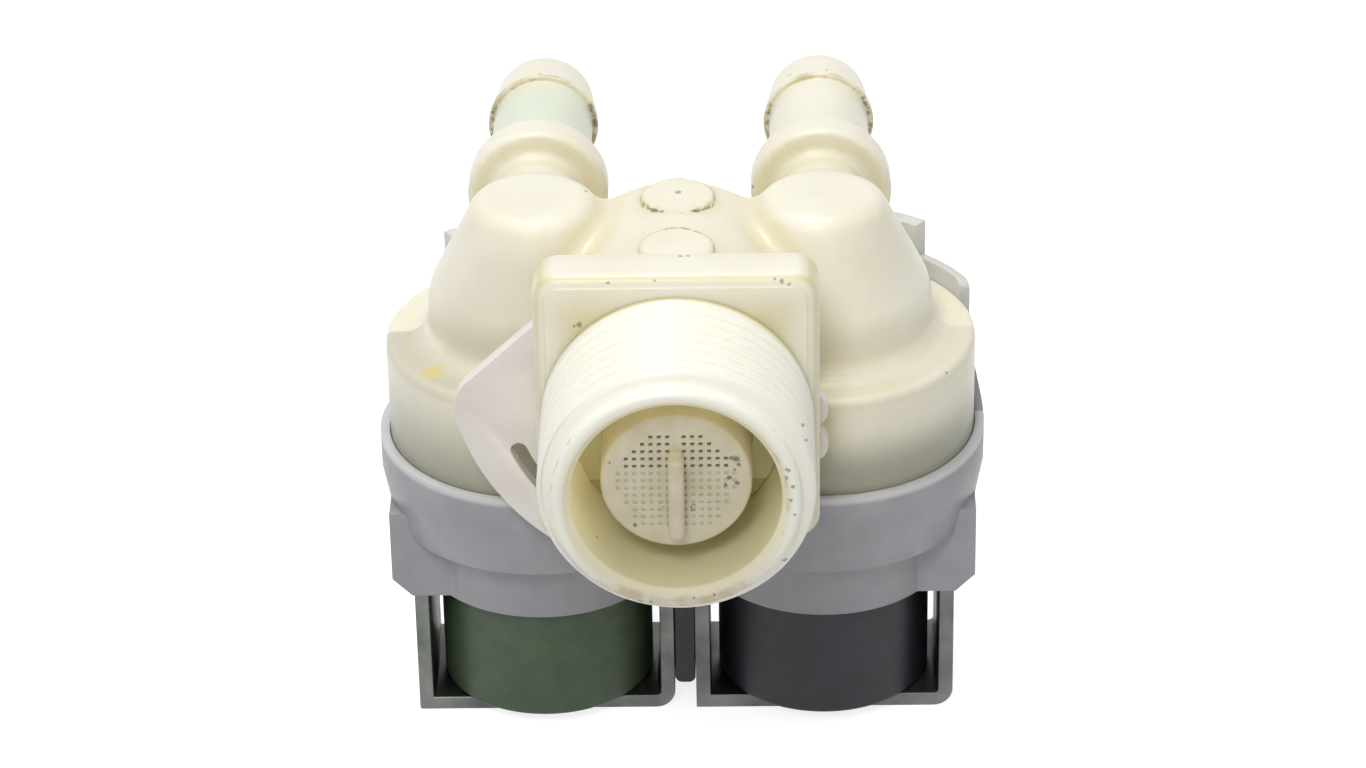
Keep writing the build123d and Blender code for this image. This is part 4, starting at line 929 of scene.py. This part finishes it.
def strainerPiece():
    faceY, backY = strainerFaceY, strainerHigh[1]
    disc, wall, rimFront = strainer["discR"], strainer["wall"], backY - strainer["rim"]
    loop = roundedLine(
        [(0.0, faceY), (disc, faceY), (disc, rimFront), (strainer["rimR"], rimFront),
         (strainer["rimR"], backY), (disc - wall, backY), (disc - wall, faceY + wall), (0.0, faceY + wall)],
        [strainer["edge"], 0.2, 0.15, 0.15, 0.15, 0.2], 4)
    cup = makeMesh("strainerCup", *turnedShell(loop, 0, 0, strainer["around"]))
    piece = makeObject("strainerCup", cup, materials["strainer_nylon"])
    columns = strainer["firstX"] + strainer["pitch"] * np.arange(strainer["columns"])
    rows = strainer["topZ"] - strainer["pitch"] * np.arange(strainer["rows"])
    x, z = np.meshgrid(np.concatenate([-columns, columns]), rows)
    keep = np.hypot(x, z) < strainer["reach"]
    wide, tall = strainer["holeWidth"] / 2, strainer["holeHeight"] / 2
    holes = []
    for u, w in zip(x[keep], z[keep]):
        end = faceY + wall + 1 if w > strainer["clearAbove"] else faceY + strainer["cloggedDepth"]
        holes.append(boxShell(np.array([u - wide, faceY - 1, w - tall]), np.array([u + wide, end, w + tall])))
    holesMesh = makeMesh("strainerHoles", *joinShells(*holes))
    cutter = makeObject("strainerHoles", holesMesh, materials["strainer_nylon"])
    fin = boxShell(np.array([-strainer["finHalf"], strainerLow[1], strainer["finBottom"]]),
                   np.array([strainer["finHalf"], faceY + 0.3, strainer["finTop"]]))
    finPiece = makeObject("strainerFin", makeMesh("strainerFin", *fin), materials["strainer_nylon"])
    rounded = finPiece.modifiers.new("roundedEdges", "BEVEL")
    rounded.width, rounded.segments = strainer["finRound"] / 1000, 4
    sheet = bmesh.new()
    sheet.from_mesh(cup)
    bmesh.ops.remove_doubles(sheet, verts=sheet.verts, dist=1e-6)
    sheet.to_mesh(cup)
    sheet.free()
    for operation, other in (("DIFFERENCE", cutter), ("UNION", finPiece)):
        step = piece.modifiers.new(operation.lower(), "BOOLEAN")
        step.operation, step.object, step.solver = operation, other, "EXACT"
    baked = bpy.data.meshes.new_from_object(piece.evaluated_get(bpy.context.evaluated_depsgraph_get()))
    for helper in (piece, cutter, finPiece):
        bpy.data.objects.remove(helper)
    baked.name = "strainerFine"
    baked.shade_smooth()
    baked.set_sharp_from_angle(angle=np.radians(40))
    standsFor(makeObject("strainerFine", baked, materials["strainer_nylon"]), "inlet_strainer")


strainerPiece()
print("strainer made")

# Floor, backdrop and light. A lamp is its place and size in metres and its power in watts.
studio = {"floorZ": cadBox[0][2] * 1000 - 0.05, "floorHalf": 1200, "floorColour": "#C8C8C8",
          "floorLift": 0.8, "ambient": 0.44, "topLamp": ((-0.1, 0.06, 0.86), 0.26, 3.0),
          "frontLamp": ((-0.12, -0.64, 0.66), 0.22, 2.7)}


# 1 for rays from the camera and for mirrored rays, else 0
def seenDirectly(tree):
    path = addNode(tree, "ShaderNodeLightPath")
    return sumOf(tree, "MAXIMUM", (path, "Is Camera Ray"), (path, "Is Glossy Ray"))


# Pale floor: a white sheet that keeps the shadow, lifted to white for the camera and reflections
def whiteFloor():
    material, tree, shader, place = startMaterial("paleFloor", Roughness=0.8)
    shader.inputs["Base Color"].default_value = toLinear(studio["floorColour"])
    shader.inputs["Emission Color"].default_value = (1, 1, 1, 1)
    lift = sumOf(tree, "MULTIPLY", seenDirectly(tree), studio["floorLift"])
    linkTo(tree, lift, shader, "Emission Strength")
    half = studio["floorHalf"]
    corners = [(-half, -half), (half, -half), (half, half), (-half, half)]
    corners = np.column_stack([corners, np.full(4, studio["floorZ"])])
    mesh = makeMesh("paleFloor", corners, np.array([[0, 1, 2, 3]]))
    makeObject("paleFloor", mesh, material)


# Square lamp pointed at the valve: its back axis runs from the valve to the lamp
def softLamp(name, place, size, power):
    data = bpy.data.lights.new(name, "AREA")
    data.size, data.energy = size, power
    lamp = bpy.data.objects.new(name, data)
    back = np.array(place, float)
    back /= np.linalg.norm(back)
    side = np.cross((0, 1, 0.01), back)
    side /= np.linalg.norm(side)
    lamp.matrix_world = placed(side, np.cross(back, side), back, place)
    bpy.context.scene.collection.objects.link(lamp)


def lightStudio():
    world = bpy.data.worlds.new("studio")
    bpy.context.scene.world = world
    world.use_nodes = True
    tree = world.node_tree
    background = tree.nodes["Background"]
    strength = mapped(tree, seenDirectly(tree), outcomes=(studio["ambient"], 1))
    linkTo(tree, strength, background, "Strength")
    background.inputs["Color"].default_value = (1, 1, 1, 1)
    softLamp("topLamp", *studio["topLamp"])
    softLamp("frontLamp", *studio["frontLamp"])
    bpy.context.scene.view_settings.view_transform = "Standard"


whiteFloor()
lightStudio()
print("stage ready")

# Normals of the blended skin come from the field itself, so highlights run smoothly over the net
skinNormals = meshNormals(bodyMesh)
agree = np.einsum("ij,ij->i", skinNormals[:len(netSlope)], netSlope) > 0.9
skinNormals[:len(netSlope)][agree] = netSlope[agree]
bodyMesh.normals_split_custom_set_from_vertices(skinNormals.tolist())
